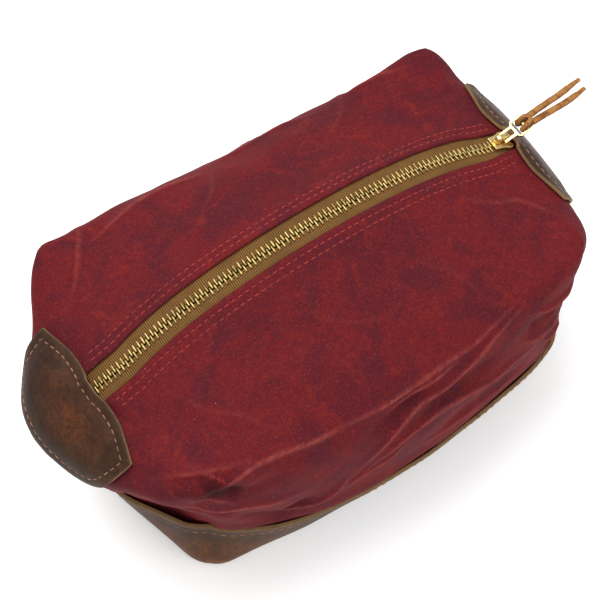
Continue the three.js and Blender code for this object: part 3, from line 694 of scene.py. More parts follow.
def press_fold(fold: Fold, places: Array, outward: Array) -> tuple[Array, Array]:
    """How a fold moves each place, how rubbed its crest is and how much shade is painted into its
    hollow.

    Args:
        fold: the fold.
        places: (n, 3) places on the cloth, in mm.
        outward: their normals.

    Returns:
        (n, 3) moves in mm, and (n,) rubs, negative where shade is painted into the hollow.
    """
    line = bent_line(fold.line, 40)
    low, high = line.min(axis=0) - 5 * fold.width - 8, line.max(axis=0) + 5 * fold.width + 8
    near = np.flatnonzero(np.all((places > low) & (places < high), axis=1))
    move, rub_and_shade = np.zeros((len(places), 3)), np.zeros(len(places))
    if not len(near):
        return move, rub_and_shade
    spots, normals = places[near], outward[near]
    apart = spots[:, None, :] - line[None, :, :]
    apart -= np.sum(apart * normals[:, None, :], axis=2, keepdims=True) * normals[:, None, :]
    closest = np.argmin(np.sum(apart**2, axis=2), axis=1)
    chosen = apart[np.arange(len(near)), closest]
    ways = np.gradient(line, axis=0)[closest]
    across = np.cross(normals, ways)
    across /= np.maximum(np.linalg.norm(across, axis=1, keepdims=True), 1e-9)
    side = np.sum(chosen * across, axis=1)
    spare = np.linalg.norm(chosen - side[:, None] * across, axis=1)
    share = closest / (len(line) - 1)
    taper = smooth_step(np.minimum(share, 1 - share) / 0.3) * 0.9 + 0.1
    taper = taper * np.exp(-((spare / fold.width) ** 2))
    reach = np.abs(side) / fold.width
    if fold.crest is Crest.ROUND:
        shape = np.exp(-(reach**2))
    elif fold.crest is Crest.PINCH:
        shape = np.clip(1 - reach / 1.9, 0, None) ** 1.7
    else:
        steep = np.exp(-((side / (0.3 * fold.width)) ** 2))
        shape = np.where(side > 0, np.exp(-side / (2.4 * fold.width)), steep)
    lean = -fold.lean * np.exp(-((side / (0.6 * fold.width)) ** 2)) * taper
    move[near] = (fold.height * shape * taper)[:, None] * normals + lean[:, None] * across
    # a negative rub is painted shade, spread over the whole hollow
    spread = 0.8 if fold.rub_and_shade > 0 else 0.7 * fold.width
    rub_and_shade[near] = fold.rub_and_shade * np.exp(-((side / spread) ** 2)) * np.sqrt(taper)
    return move, rub_and_shade


# ---------------------------------------------------------------- finishes


class Bench:
    """Adds nodes to one node tree and joins them."""

    def __init__(self, tree: bpy.types.NodeTree) -> None:
        """Keeps the tree that the nodes go in."""
        self.tree = tree

    def add(self, kind: str, settings: dict | None = None, **inputs: object) -> bpy.types.Node:
        """Adds a node.

        Args:
            kind: the node's type name.
            settings: the node's own choices.
            **inputs: a value or an output for each socket, with _ for a space in its name.
                In0, In1 and so on name a socket by its number.

        Returns:
            The node.
        """
        node = self.tree.nodes.new(kind)
        for name, value in (settings or {}).items():
            setattr(node, name, value)
        self.give(node, **inputs)
        return node

    def give(self, node: bpy.types.Node, **inputs: object) -> None:
        """Gives each named socket of a node a value or an output, named as add names them."""
        for name, value in inputs.items():
            numbered = name.startswith("In") and name[2:].isdigit()
            socket = node.inputs[int(name[2:])] if numbered else node.inputs[name.replace("_", " ")]
            if isinstance(value, bpy.types.NodeSocket):
                self.tree.links.new(value, socket)
            else:
                socket.default_value = value

    def place(self) -> bpy.types.NodeSocket:
        """Where a point is on its object."""
        return self.add("ShaderNodeTexCoord").outputs["Object"]

    def cloth(self) -> bpy.types.NodeSocket:
        """Where a point is on the flat cloth."""
        return self.add("ShaderNodeUVMap").outputs["UV"]

    def mask(self, name: str) -> bpy.types.NodeSocket:
        """A mask that is stored on the piece."""
        return self.add("ShaderNodeAttribute", {"attribute_name": name}).outputs["Fac"]

    def math(self, operation: str, *terms: object, clamp: bool = False) -> bpy.types.NodeSocket:
        """The result of a Math node."""
        inputs = {f"In{index}": term for index, term in enumerate(terms)}
        node = self.add("ShaderNodeMath", {"operation": operation, "use_clamp": clamp}, **inputs)
        return node.outputs[0]

    def ramp(self, value: bpy.types.NodeSocket, low: float, high: float) -> bpy.types.NodeSocket:
        """0 where a value is at low, 1 at high and a smooth rise between."""
        smoothly = {"interpolation_type": "SMOOTHSTEP"}
        node = self.add("ShaderNodeMapRange", smoothly, Value=value, From_Min=low, From_Max=high)
        return node.outputs["Result"]

    def blend(self, share: object, first: object, second: object) -> bpy.types.NodeSocket:
        """A colour mixed from two."""
        colours = {"data_type": "RGBA", "blend_type": "MIX"}
        return self.add("ShaderNodeMix", colours, In0=share, In6=first, In7=second).outputs[2]

    def noise(
        self,
        vector: object,
        scale: float,
        detail: float = 3.0,
        rough: float = 0.55,
        bend: float = 0.0,
    ) -> bpy.types.NodeSocket:
        """A noise texture's value."""
        kind = "ShaderNodeTexNoise"
        values = {"Scale": scale, "Detail": detail, "Roughness": rough, "Distortion": bend}
        return self.add(kind, Vector=vector, **values).outputs[0]


def node_group(
    name: str,
    inputs: dict[str, tuple[str, object]],
    outputs: dict[str, str],
    build: Callable[[Bench, bpy.types.Node, bpy.types.Node], None],
) -> bpy.types.NodeTree:
    """Makes a shader node group once.

    Args:
        name: the group's name.
        inputs: each input's socket type and default.
        outputs: each output's socket type.
        build: adds the group's nodes between its input and output nodes.

    Returns:
        The group.
    """
    group = bpy.data.node_groups.get(name)
    if group:
        return group
    group = bpy.data.node_groups.new(name, "ShaderNodeTree")
    for label, (kind, default) in inputs.items():
        socket = group.interface.new_socket(name=label, in_out="INPUT", socket_type=kind)
        if default is not None:
            socket.default_value = default
    for label, kind in outputs.items():
        group.interface.new_socket(name=label, in_out="OUTPUT", socket_type=kind)
    bench = Bench(group)
    build(bench, group.nodes.new("NodeGroupInput"), group.nodes.new("NodeGroupOutput"))
    return group


FLOAT, VECTOR = "NodeSocketFloat", "NodeSocketVector"


def weave_group() -> bpy.types.NodeTree:
    """A plain weave: threads over and under each other, with uneven yarn."""

    def build(bench: Bench, given: bpy.types.Node, result: bpy.types.Node) -> None:
        """Two crossed sines, and a noise for the yarn."""
        parts = bench.add("ShaderNodeSeparateXYZ", Vector=given.outputs["Cloth"])
        turns = bench.math("DIVIDE", math.tau, given.outputs["Thread"])
        warp = bench.math("SINE", bench.math("MULTIPLY", parts.outputs[0], turns))
        weft = bench.math("SINE", bench.math("MULTIPLY", parts.outputs[1], turns))
        yarn = bench.noise(given.outputs["Cloth"], 900.0, 2.0, 0.6)
        crossing = bench.math("MULTIPLY", warp, weft)
        height = bench.math("ADD", bench.math("MULTIPLY", crossing, 0.5), yarn)
        bench.give(result, Height=height, Yarn=yarn)

    return node_group(
        "Woven cloth",
        {"Cloth": (VECTOR, None), "Thread": (FLOAT, 0.0007)},
        {"Height": FLOAT, "Yarn": FLOAT},
        build,
    )


def mottle_group() -> bpy.types.NodeTree:
    """Uneven dye and wax: broad patches, a warm haze and small flecks."""

    def build(bench: Bench, given: bpy.types.Node, result: bpy.types.Node) -> None:
        """Noises of three sizes and a scatter of flecks."""
        place = given.outputs["Place"]
        size = given.outputs["Size"]
        scaled = bench.add("ShaderNodeVectorMath", {"operation": "SCALE"}, In0=place)
        bench.give(scaled, Scale=size)
        at = scaled.outputs[0]
        broad = bench.noise(at, 1.0, 5.0, 0.62, 0.6)
        haze = bench.noise(at, 1.9, 6.0, 0.7, 1.1)
        grain = bench.noise(at, 26.0, 3.0, 0.75)
        specks = bench.noise(at, 10.0, 6.0, 0.85)
        cells = bench.add("ShaderNodeTexVoronoi", Vector=at, Scale=9.0, Randomness=1.0)
        chance = bench.add("ShaderNodeSeparateColor", In0=cells.outputs["Color"]).outputs[0]
        lucky = bench.ramp(chance, 0.965, 0.98)
        small = bench.ramp(cells.outputs["Distance"], 0.085, 0.05)
        bench.give(
            result,
            Patches=bench.ramp(broad, 0.42, 0.6),
            Haze=bench.ramp(haze, 0.5, 0.72),
            Grain=grain,
            Specks=specks,
            Flecks=bench.math("MULTIPLY", lucky, small),
        )

    return node_group(
        "Dye and wax",
        {"Place": (VECTOR, None), "Size": (FLOAT, 30.0)},
        {"Patches": FLOAT, "Haze": FLOAT, "Grain": FLOAT, "Specks": FLOAT, "Flecks": FLOAT},
        build,
    )


def hide_group() -> bpy.types.NodeTree:
    """Oiled leather: fine pores, pulled-up patches and scuffs."""

    def build(bench: Bench, given: bpy.types.Node, result: bpy.types.Node) -> None:
        """Pores from cells, and noises for the tone."""
        place = given.outputs["Place"]
        pores = bench.add(
            "ShaderNodeTexVoronoi",
            {"feature": "SMOOTH_F1"},
            Vector=place,
            Scale=given.outputs["Pores"],
        )
        wrinkle = bench.noise(place, 320.0, 5.0, 0.68, 0.8)
        tone = bench.noise(place, 42.0, 6.0, 0.66, 0.9)
        scuff = bench.noise(place, 130.0, 6.0, 0.78, 0.4)
        height = bench.math("ADD", bench.math("MULTIPLY", pores.outputs["Distance"], 0.55), wrinkle)
        bench.give(
            result,
            Height=height,
            Tone=bench.ramp(tone, 0.38, 0.66),
            Scuffs=bench.ramp(scuff, 0.46, 0.68),
            Grain=bench.ramp(bench.noise(place, 620.0, 4.0, 0.75), 0.36, 0.62),
        )

    return node_group(
        "Oiled leather",
        {"Place": (VECTOR, None), "Pores": (FLOAT, 900.0)},
        {"Height": FLOAT, "Tone": FLOAT, "Scuffs": FLOAT, "Grain": FLOAT},
        build,
    )


def rubbed_group() -> bpy.types.NodeTree:
    """Rubbed crests and edges: a stored mask, broken up by a noise."""

    def build(bench: Bench, given: bpy.types.Node, result: bpy.types.Node) -> None:
        """The mask times a ragged noise."""
        ragged = bench.noise(given.outputs["Place"], 260.0, 5.0, 0.7)
        uneven = bench.ramp(ragged, 0.3, 0.62)
        worn = bench.math(
            "MULTIPLY",
            given.outputs["Mask"],
            bench.math("ADD", bench.math("MULTIPLY", uneven, 0.75), 0.25),
        )
        bench.give(result, Worn=worn)

    return node_group(
        "Rubbed crests",
        {"Place": (VECTOR, None), "Mask": (FLOAT, 0.0)},
        {"Worn": FLOAT},
        build,
    )


def placed_group(bench: Bench, group: bpy.types.NodeTree, **inputs: object) -> bpy.types.Node:
    """Puts a node group in a material."""
    return bench.add("ShaderNodeGroup", {"node_tree": group}, **inputs)


def new_material(name: str) -> tuple[bpy.types.Material, Bench, bpy.types.Node]:
    """A material with a Principled shader joined to its output.

    Returns:
        The material, its bench and the shader.
    """
    material = bpy.data.materials.new(name)
    material.use_nodes = True
    shader = material.node_tree.nodes["Principled BSDF"]
    return material, Bench(material.node_tree), shader


def bump(
    bench: Bench, shader: bpy.types.Node, *layers: tuple[bpy.types.NodeSocket, float, float],
) -> None:
    """Stacks bumps on a shader, each a height, its strength and its depth in mm."""
    normal = None
    for height, strength, depth in layers:
        node = bench.add("ShaderNodeBump", Height=height, Strength=strength, Distance=depth * MM)
        if normal is not None:
            bench.give(node, Normal=normal)
        normal = node.outputs["Normal"]
    bench.give(shader, Normal=normal)


@dataclass(frozen=True)
class WaxedCanvas:
    """Burgundy waxed canvas, with painted shade in the hollows of its folds and paler where it is
    rubbed.
    """

    burgundy: Colour = (0.128, 0.0095, 0.0125, 1)
    plum: Colour = (0.076, 0.009, 0.0155, 1)
    rust: Colour = (0.182, 0.0145, 0.0115, 1)
    chalk: Colour = (0.31, 0.062, 0.05, 1)
    fleck: Colour = (0.5, 0.36, 0.34, 1)
    # painted shade for the hollows of folds
    painted_hollow_shade: Colour = (0.02, 0.003, 0.004, 1)
    thread: float = 0.0009

    def material(self) -> bpy.types.Material:
        """The canvas's material."""
        made, bench, shader = new_material("waxed_canvas")
        place = bench.place()
        cloth = bench.cloth()
        wax = placed_group(bench, mottle_group(), Place=place, Size=42.0)
        weave = placed_group(bench, weave_group(), Cloth=cloth, Thread=self.thread)
        rub_and_shade = bench.mask("rub_and_shade")
        worn = placed_group(bench, rubbed_group(), Place=place, Mask=rub_and_shade).outputs["Worn"]
        first_mix = bench.blend(
            bench.math("MULTIPLY", wax.outputs["Patches"], 0.85), self.burgundy, self.plum,
        )
        hazed = bench.blend(bench.math("MULTIPLY", wax.outputs["Haze"], 0.8), first_mix, self.rust)
        speckled = bench.blend(
            bench.math("MULTIPLY", bench.ramp(wax.outputs["Specks"], 0.54, 0.36), 0.9),
            hazed,
            self.plum,
        )
        grainy = bench.blend(
            bench.math("MULTIPLY", bench.ramp(wax.outputs["Grain"], 0.48, 0.72), 0.27),
            speckled,
            self.chalk,
        )
        chafed = bench.blend(bench.math("MULTIPLY", worn, 0.85), grainy, self.chalk)
        flecked = bench.blend(
            bench.math("MULTIPLY", wax.outputs["Flecks"], 0.8), chafed, self.fleck,
        )
        # painted shade: darkens the canvas where the rub mask is below 0, in the hollows of folds
        with_painted_shade = bench.blend(bench.math("MULTIPLY", rub_and_shade, -0.9, clamp=True), flecked, self.painted_hollow_shade)
        bench.give(shader, Base_Color=with_painted_shade)
        rough = bench.math("ADD", bench.math("MULTIPLY", wax.outputs["Grain"], 0.25), 0.58)
        bench.give(
            shader,
            Roughness=rough,
            Sheen_Weight=0.03,
            Sheen_Roughness=0.4,
            Sheen_Tint=(1.0, 0.35, 0.35, 1),
            Specular_IOR_Level=0.06,
        )
        crumple = bench.noise(place, 150.0, 4.0, 0.6, 0.5)
        bump(bench, shader, (crumple, 0.45, 0.7), (weave.outputs["Height"], 0.35, 0.12))
        return made


@dataclass(frozen=True)
class PlainCloth:
    """Woven cotton in one dye: the lining, the seam tape and the thread."""

    name: str
    dye: Colour
    shade: Colour
    thread: float = 0.0006

    def material(self) -> bpy.types.Material:
        """The cloth's material."""
        made, bench, shader = new_material(self.name)
        place = bench.place()
        cloth = bench.cloth()
        wax = placed_group(bench, mottle_group(), Place=place, Size=55.0)
        weave = placed_group(bench, weave_group(), Cloth=cloth, Thread=self.thread)
        tone = bench.math("MULTIPLY", wax.outputs["Patches"], 0.6)
        bench.give(shader, Base_Color=bench.blend(tone, self.dye, self.shade))
        rough = bench.math("ADD", bench.math("MULTIPLY", weave.outputs["Yarn"], 0.15), 0.76)
        bench.give(shader, Roughness=rough, Sheen_Weight=0.15)
        bump(bench, shader, (weave.outputs["Height"], 0.4, 0.1))
        return made


@dataclass(frozen=True)
class RibbedTape:
    """The zip's cotton tape, ribbed across its length, with painted shade: umber in the rib
    troughs, which also darkens the tape seen between the teeth.
    """

    khaki: Colour = (0.225, 0.115, 0.034, 1)
    # painted shade colour for the rib troughs, also used for the tape's uneven tone
    umber_and_shade: Colour = (0.085, 0.04, 0.013, 1)
    rib: float = 0.00095

    def material(self) -> bpy.types.Material:
        """The tape's material. Its UV runs along the tape and across it, in metres."""
        made, bench, shader = new_material("zip_tape")
        cloth = bench.cloth()
        place = bench.place()
        parts = bench.add("ShaderNodeSeparateXYZ", Vector=cloth)
        wave = bench.math("SINE", bench.math("MULTIPLY", parts.outputs[0], math.tau / self.rib))
        ridge = bench.ramp(wave, -0.9, 0.6)
        wax = placed_group(bench, mottle_group(), Place=place, Size=90.0)
        # painted shade: the rib troughs are coloured umber
        first_mix = bench.blend(ridge, self.umber_and_shade, self.khaki)
        toned = bench.blend(bench.math("MULTIPLY", wax.outputs["Patches"], 0.3), first_mix, self.umber_and_shade)
        bench.give(shader, Base_Color=toned)
        rough = bench.math("ADD", bench.math("MULTIPLY", wax.outputs["Grain"], 0.2), 0.7)
        bench.give(shader, Roughness=rough, Specular_IOR_Level=0.1)
        bump(bench, shader, (ridge, 0.7, 0.25))
        return made


@dataclass(frozen=True)
class OiledLeather:
    """Pull-up leather: dark, with burnished warm patches and paler scuffs."""

    name: str
    dark: Colour
    warm: Colour
    pale: Colour
    heart: Colour
    edge: Colour
    pores: float = 900.0
    gloss: float = 0.5

    def material(self) -> bpy.types.Material:
        """The leather's material. It reads the masks heart and worn from its piece."""
        made, bench, shader = new_material(self.name)
        place = bench.place()
        hide = placed_group(bench, hide_group(), Place=place, Pores=self.pores)
        heart = bench.mask("heart")
        mask = bench.mask("worn")
        worn = placed_group(bench, rubbed_group(), Place=place, Mask=mask).outputs["Worn"]
        toned = bench.blend(hide.outputs["Tone"], self.dark, self.warm)
        centre = bench.math(
            "MULTIPLY",
            heart,
            bench.math("ADD", bench.math("MULTIPLY", hide.outputs["Tone"], 0.6), 0.4),
        )
        burnished = bench.blend(centre, toned, self.heart)
        scuffed = bench.blend(
            bench.math("MULTIPLY", hide.outputs["Scuffs"], 0.5), burnished, self.pale,
        )
        grained = bench.blend(
            bench.math("ADD", bench.math("MULTIPLY", hide.outputs["Grain"], 0.6), 0.4),
            self.dark,
            scuffed,
        )
        edged = bench.blend(worn, grained, self.edge)
        bench.give(shader, Base_Color=edged)
        rough = bench.math("ADD", bench.math("MULTIPLY", hide.outputs["Scuffs"], 0.2), self.gloss)
        bench.give(shader, Roughness=rough, Specular_IOR_Level=0.16)
        bump(bench, shader, (hide.outputs["Height"], 0.5, 0.35))
        return made


@dataclass(frozen=True)
class RawEdge:
    """The cut edge of leather, tan and fibrous."""

    tan: Colour = (0.24, 0.14, 0.055, 1)
    brown: Colour = (0.08, 0.042, 0.018, 1)

    def material(self) -> bpy.types.Material:
        """The cut edge's material."""
        made, bench, shader = new_material("raw_leather_edge")
        place = bench.place()
        hide = placed_group(bench, hide_group(), Place=place, Pores=1500.0)
        share = bench.math("MULTIPLY", hide.outputs["Scuffs"], 0.8)
        toned = bench.blend(
            hide.outputs["Tone"], self.tan, bench.blend(share, self.tan, self.brown),
        )
        bench.give(shader, Base_Color=toned)
        rough = bench.math("ADD", bench.math("MULTIPLY", hide.outputs["Scuffs"], 0.15), 0.75)
        bench.give(shader, Roughness=rough)
        bump(bench, shader, (hide.outputs["Height"], 0.5, 0.3))
        return made


@dataclass(frozen=True)
class Brass:
    """Brass, brushed and tarnished by some amount."""

    name: str
    bright: Colour
    dull: Colour
    tarnish: float
    roughness: float

    def material(self) -> bpy.types.Material:
        """The brass's material."""
        made, bench, shader = new_material(self.name)
        place = bench.place()
        cloud = bench.noise(place, 420.0, 4.0, 0.65)
        fine = bench.noise(place, 2600.0, 3.0, 0.6)
        stain = bench.math("MULTIPLY", bench.ramp(cloud, 0.4, 0.68), self.tarnish)
        bench.give(shader, Base_Color=bench.blend(stain, self.bright, self.dull))
        rough = bench.math("ADD", bench.math("MULTIPLY", fine, 0.16), self.roughness)
        bench.give(shader, Roughness=rough, Metallic=1.0)
        bump(bench, shader, (fine, 0.12, 0.05))
        return made


@dataclass(frozen=True)
class TwistedThread:
    """Sewing thread, a little darker between its plies."""

    name: str
    bright: Colour
    shade: Colour

    def material(self) -> bpy.types.Material:
        """The thread's material."""
        made, bench, shader = new_material(self.name)
        place = bench.place()
        ply = bench.noise(place, 1500.0, 3.0, 0.7)
        fade = bench.noise(place, 75.0, 3.0, 0.6)
        share = bench.math("MULTIPLY", bench.ramp(fade, 0.4, 0.65), bench.ramp(ply, 0.2, 0.7))
        bench.give(shader, Base_Color=bench.blend(share, self.bright, self.shade))
        rough = bench.math("ADD", bench.math("MULTIPLY", ply, 0.2), 0.55)
        bench.give(shader, Roughness=rough)
        bump(bench, shader, (ply, 0.5, 0.15))
        return made


@dataclass(frozen=True)
class LaceLeather:
    """Golden tan lace with a fuzzy flesh side."""

    gold: Colour = (0.36, 0.165, 0.05, 1)
    bark: Colour = (0.16, 0.055, 0.014, 1)

    def material(self) -> bpy.types.Material:
        """The lace's material."""
        made, bench, shader = new_material("lace_leather")
        place = bench.place()
        hide = placed_group(bench, hide_group(), Place=place, Pores=1800.0)
        streak = bench.noise(place, 230.0, 5.0, 0.75)
        toned = bench.blend(bench.ramp(streak, 0.42, 0.66), self.gold, self.bark)
        bench.give(shader, Base_Color=toned)
        rough = bench.math("ADD", bench.math("MULTIPLY", hide.outputs["Scuffs"], 0.2), 0.62)
        bench.give(shader, Roughness=rough, Specular_IOR_Level=0.15)
        bump(bench, shader, (hide.outputs["Height"], 0.7, 0.3), (streak, 0.5, 0.4))
        return made


class Finishes:
    """Every material of the bag, each made once."""

    def __init__(self) -> None:
        """Makes the materials."""
        self.canvas = WaxedCanvas().material()
        self.lining = PlainCloth("lining", (0.16, 0.1, 0.06, 1), (0.1, 0.06, 0.035, 1)).material()
        self.binding = PlainCloth(
            "binding", (0.22, 0.13, 0.07, 1), (0.13, 0.075, 0.04, 1), 0.0008,
        ).material()
        self.tape = RibbedTape().material()
        self.base = OiledLeather(
            "base_leather",
            dark=(0.036, 0.0155, 0.007, 1),
            warm=(0.075, 0.031, 0.013, 1),
            pale=(0.13, 0.065, 0.03, 1),
            heart=(0.23, 0.075, 0.021, 1),
            edge=(0.2, 0.115, 0.045, 1),
        ).material()
        self.patch = OiledLeather(
            "patch_leather",
            dark=(0.019, 0.008, 0.0042, 1),
            warm=(0.044, 0.018, 0.0078, 1),
            pale=(0.095, 0.042, 0.02, 1),
            heart=(0.135, 0.037, 0.01, 1),
            edge=(0.2, 0.115, 0.045, 1),
        ).material()
        self.raw_edge = RawEdge().material()
        self.teeth = Brass(
            "zip_brass", (0.52, 0.39, 0.15, 1), (0.12, 0.075, 0.025, 1), 0.85, 0.32,
        ).material()
        self.slider = Brass(
            "slider_brass", (0.83, 0.64, 0.29, 1), (0.5, 0.33, 0.11, 1), 0.5, 0.2,
        ).material()
        self.lace = LaceLeather().material()
        self.red_thread = TwistedThread(
            "red_thread", (0.32, 0.02, 0.014, 1), (0.13, 0.01, 0.01, 1),
        ).material()
        self.copper_thread = TwistedThread(
            "copper_thread", (0.36, 0.17, 0.09, 1), (0.15, 0.06, 0.03, 1),
        ).material()


# ---------------------------------------------------------------- sewing


@dataclass
class Stitching:
    """A row of straight stitches that lies on a surface."""

    material: bpy.types.Material
    pitch: float = 3.45
    length: float = 2.7
    width: float = 0.62
    height: float = 0.5
    look: float = 0.4

    def stitch(self) -> bpy.types.Object:
        """One stitch: a short thread that dives into the cloth at both ends."""
        deselect_all()
        bpy.ops.mesh.primitive_uv_sphere_add(segments=8, ring_count=6, radius=1)
        made = bpy.context.active_object
        made.rotation_euler = (0, math.pi / 2, 0)
        made.scale = (self.height / 2 * MM, self.width / 2 * MM, self.length / 2 * MM)
        settle(made)
        for vertex in made.data.vertices:
            away = abs(vertex.co.x) / (self.length / 2 * MM)
            vertex.co.z -= 0.45 * self.height * MM * away**2
        smooth(made, 80)
        return made

    def sew(self, line: Array, outward: Array, name: str) -> bpy.types.Object:
        """Sews along a line.

        Args:
            line: (n, 3) places on the surface, in mm.
            outward: the surface's normals there.
            name: the new piece's name.

        Returns:
            The row of stitches.
        """
        run = steps_along(line)
        count = max(1, int(run[-1] // self.pitch))
        places = []
        for index in range(count):
            middle = (index + 0.5) * run[-1] / count
            spot, normal = points_along(line, run, middle), points_along(outward, run, middle)
            ahead = points_along(line, run, middle + self.look)
            behind = points_along(line, run, middle - self.look)
            places.append(frame_on(spot + normal * 0.12 * self.height, ahead - behind, normal))
        row = lay_copies(self.stitch(), places, name)
        wear(row, self.material)
        return row


# ---------------------------------------------------------------- the canvas


@dataclass
class CanvasBody:
    """The canvas: a front and a back panel, and the two lips that open with the zip."""

    cloth: Cloth
    finishes: Finishes
    flap_rows: int = 4
    flap_gap: float = 0.3
    wall: float = 1.4
    seam_rows: tuple[float, float] = (3.3, 6.8)
    rows_beside_zip: int = 40

    def build(self) -> None:
        """Cuts the cloth into its pieces and sews the rows beside the zip."""
        for side, start, first in (("front", -0.5, 0), ("back", 1.5, 2)):
            half = self._half(f"canvas_{side}", f"canvas_{side}_panel", start, start + 2, first)
            LOG.info("canvas %s: %d vertices", side, len(half.data.vertices))
        for side, first in (("front", 0), ("back", 2)):
            start, stop = self._lip_ends(first)
            middle = first + 0.5
            left_to_right = (("left", start, middle), ("right", middle, stop))
            if side == "back":
                left_to_right = (("right", start, middle), ("left", middle, stop))
            for end, low, high in left_to_right:
                self._lip(side, end, low, high)
                self._rows(side, end, low, high)

    def _lip_ends(self, first: int) -> tuple[float, float]:
        """The turns between which a long side's lip opens."""
        spare = (1 - LIP_SHARE) / 2
        net = self.cloth.around
        start = net[np.argmin(np.abs(net - (first + spare)))]
        stop = net[np.argmin(np.abs(net - (first + 1 - spare)))]
        return float(start), float(stop)

    def _sheet(
        self, name: str, columns: slice, rows: slice, places: Array | None = None,
    ) -> bpy.types.Object:
        """One rectangle of the cloth as a sheet, with its UV and its rub mask."""
        if places is None:
            places = self.cloth.places[columns, rows]
        sheet = lay_grid(name, places, self.cloth.chart[columns, rows])
        # the rub mask: rubbed crests above 0, painted shade in hollows below 0
        write_mask(sheet, "rub_and_shade", self.cloth.rub_and_shade[columns, rows].T)
        return sheet

    def _dress(self, sheet: bpy.types.Object, normals: Array, shared: Array) -> None:
        """Gives a sheet its wall and lining, and smooth joins with its neighbours.

        Args:
            sheet: the sheet.
            normals: the cloth's normals at its vertices.
            shared: True at the vertices that another piece shares.
        """
        wear(sheet, self.finishes.canvas, self.finishes.lining)
        thicken(sheet, self.wall, lining=1)
        smooth(sheet, 60)
        kept = np.zeros((len(sheet.data.vertices), 3))
        kept[: len(normals)][shared] = normals[shared]
        sheet.data.normals_split_custom_set_from_vertices(kept.tolist())

    def _half(
        self, name: str, node: str, start: float, stop: float, first: int,
    ) -> bpy.types.Object:
        """The front or the back panel, without its lip.

        Args:
            name: the piece's name.
            node: the CAD node that it replaces.
            start: the turn at which it starts.
            stop: the turn at which it ends.
            first: the long side in it, 0 or 2.

        Returns:
            The panel.
        """
        columns = self.cloth.columns(start, stop)
        hinge = self.cloth.row(HINGE_LEVEL)
        sheet = self._sheet(name, columns, slice(None))
        width = columns.stop - columns.start
        lip = self.cloth.columns(*self._lip_ends(first))
        left, right = lip.start - columns.start, lip.stop - 1 - columns.start
        index = np.arange(len(sheet.data.vertices))
        column, row = index % width, index // width
        in_lip = (column >= left) & (column <= right) & (row >= hinge)
        inside = (column > left) & (column < right) & (row > hinge)
        self._cut_out(sheet, in_lip)
        normals = self.cloth.normals[columns].transpose(1, 0, 2).reshape(-1, 3)[~inside]
        edge = in_lip | (column == 0) | (column == width - 1)
        self._dress(sheet, normals, edge[~inside])
        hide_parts(node)
        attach(sheet, "bag")
        return sheet

    @staticmethod
    def _cut_out(sheet: bpy.types.Object, region: Array) -> None:
        """Deletes the faces whose corners all lie in a region of vertices."""
        for polygon in sheet.data.polygons:
            polygon.select = all(region[vertex] for vertex in polygon.vertices)
        for vertex in sheet.data.vertices:
            vertex.select = False
        for edge in sheet.data.edges:
            edge.select = False
        pick(sheet)
        bpy.context.tool_settings.mesh_select_mode = (False, False, True)
        bpy.ops.object.mode_set(mode="EDIT")
        bpy.ops.mesh.delete(type="FACE")
        bpy.ops.object.mode_set(mode="OBJECT")
        bpy.context.tool_settings.mesh_select_mode = (True, False, False)

    def _lip(self, side: str, end: str, low: float, high: float) -> None:
        """One quarter of the opening lips.

        Its lowest rows lie behind the panel, so that the join stays covered as it opens.

        Args:
            side: front or back.
            end: left or right.
            low: the turn at which it starts.
            high: the turn at which it ends.
        """
        columns = self.cloth.columns(low, high)
        rows = slice(self.cloth.row(HINGE_LEVEL) - self.flap_rows, None)
        normals = self.cloth.normals[columns, rows]
        places = self.cloth.places[columns, rows].copy()
        places[:, : self.flap_rows] -= normals[:, : self.flap_rows] * (self.wall + self.flap_gap)
        sheet = self._sheet(f"canvas_{side}_lip_{end}", columns, rows, places)
        width = columns.stop - columns.start
        index = np.arange(len(sheet.data.vertices))
        column, row = index % width, index // width
        shared = (row == self.flap_rows) | (
            (row > self.flap_rows) & ((column == 0) | (column == width - 1))
        )
        self._dress(sheet, normals.transpose(1, 0, 2).reshape(-1, 3), shared)
        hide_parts(f"canvas_{side}_lip")
        open_with_zip(sheet)

    def _rows(self, side: str, end: str, low: float, high: float) -> None:
        """The two rows of red stitches on one quarter, beside the zip."""
        columns = self.cloth.columns(low, high)
        lines = [self._line_beside_zip(columns, away) for away in self.seam_rows]
        rows = [
            Stitching(self.finishes.red_thread).sew(
                line, outward, f"zip_stitches_{side}_{end}_{number}",
            )
            for number, (line, outward) in enumerate(lines)
        ]
        joined = join_pieces(rows, f"zip_stitches_{side}_{end}")
        open_with_zip(joined)

    def _line_beside_zip(self, columns: slice, away: float) -> tuple[Array, Array]:
        """The line on the cloth at a distance from the zip's opening, with its normals."""
        places = self.cloth.places[columns][:, : -self.rows_beside_zip - 1 : -1]
        normals = self.cloth.normals[columns][:, : -self.rows_beside_zip - 1 : -1]
        line, outward = [], []
        for column, normal in zip(places, normals):
            run = steps_along(column)
            line.append(points_along(column, run, away))
            outward.append(points_along(normal, run, away))
        return np.array(line), np.array(outward)


def open_with_zip(piece: bpy.types.Object) -> None:
    """Puts a piece's place, turn and scale into its mesh, and leaves the piece closed.

    Args:
        piece: the final mesh.
    """
    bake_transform(piece)


# ---------------------------------------------------------------- the leather


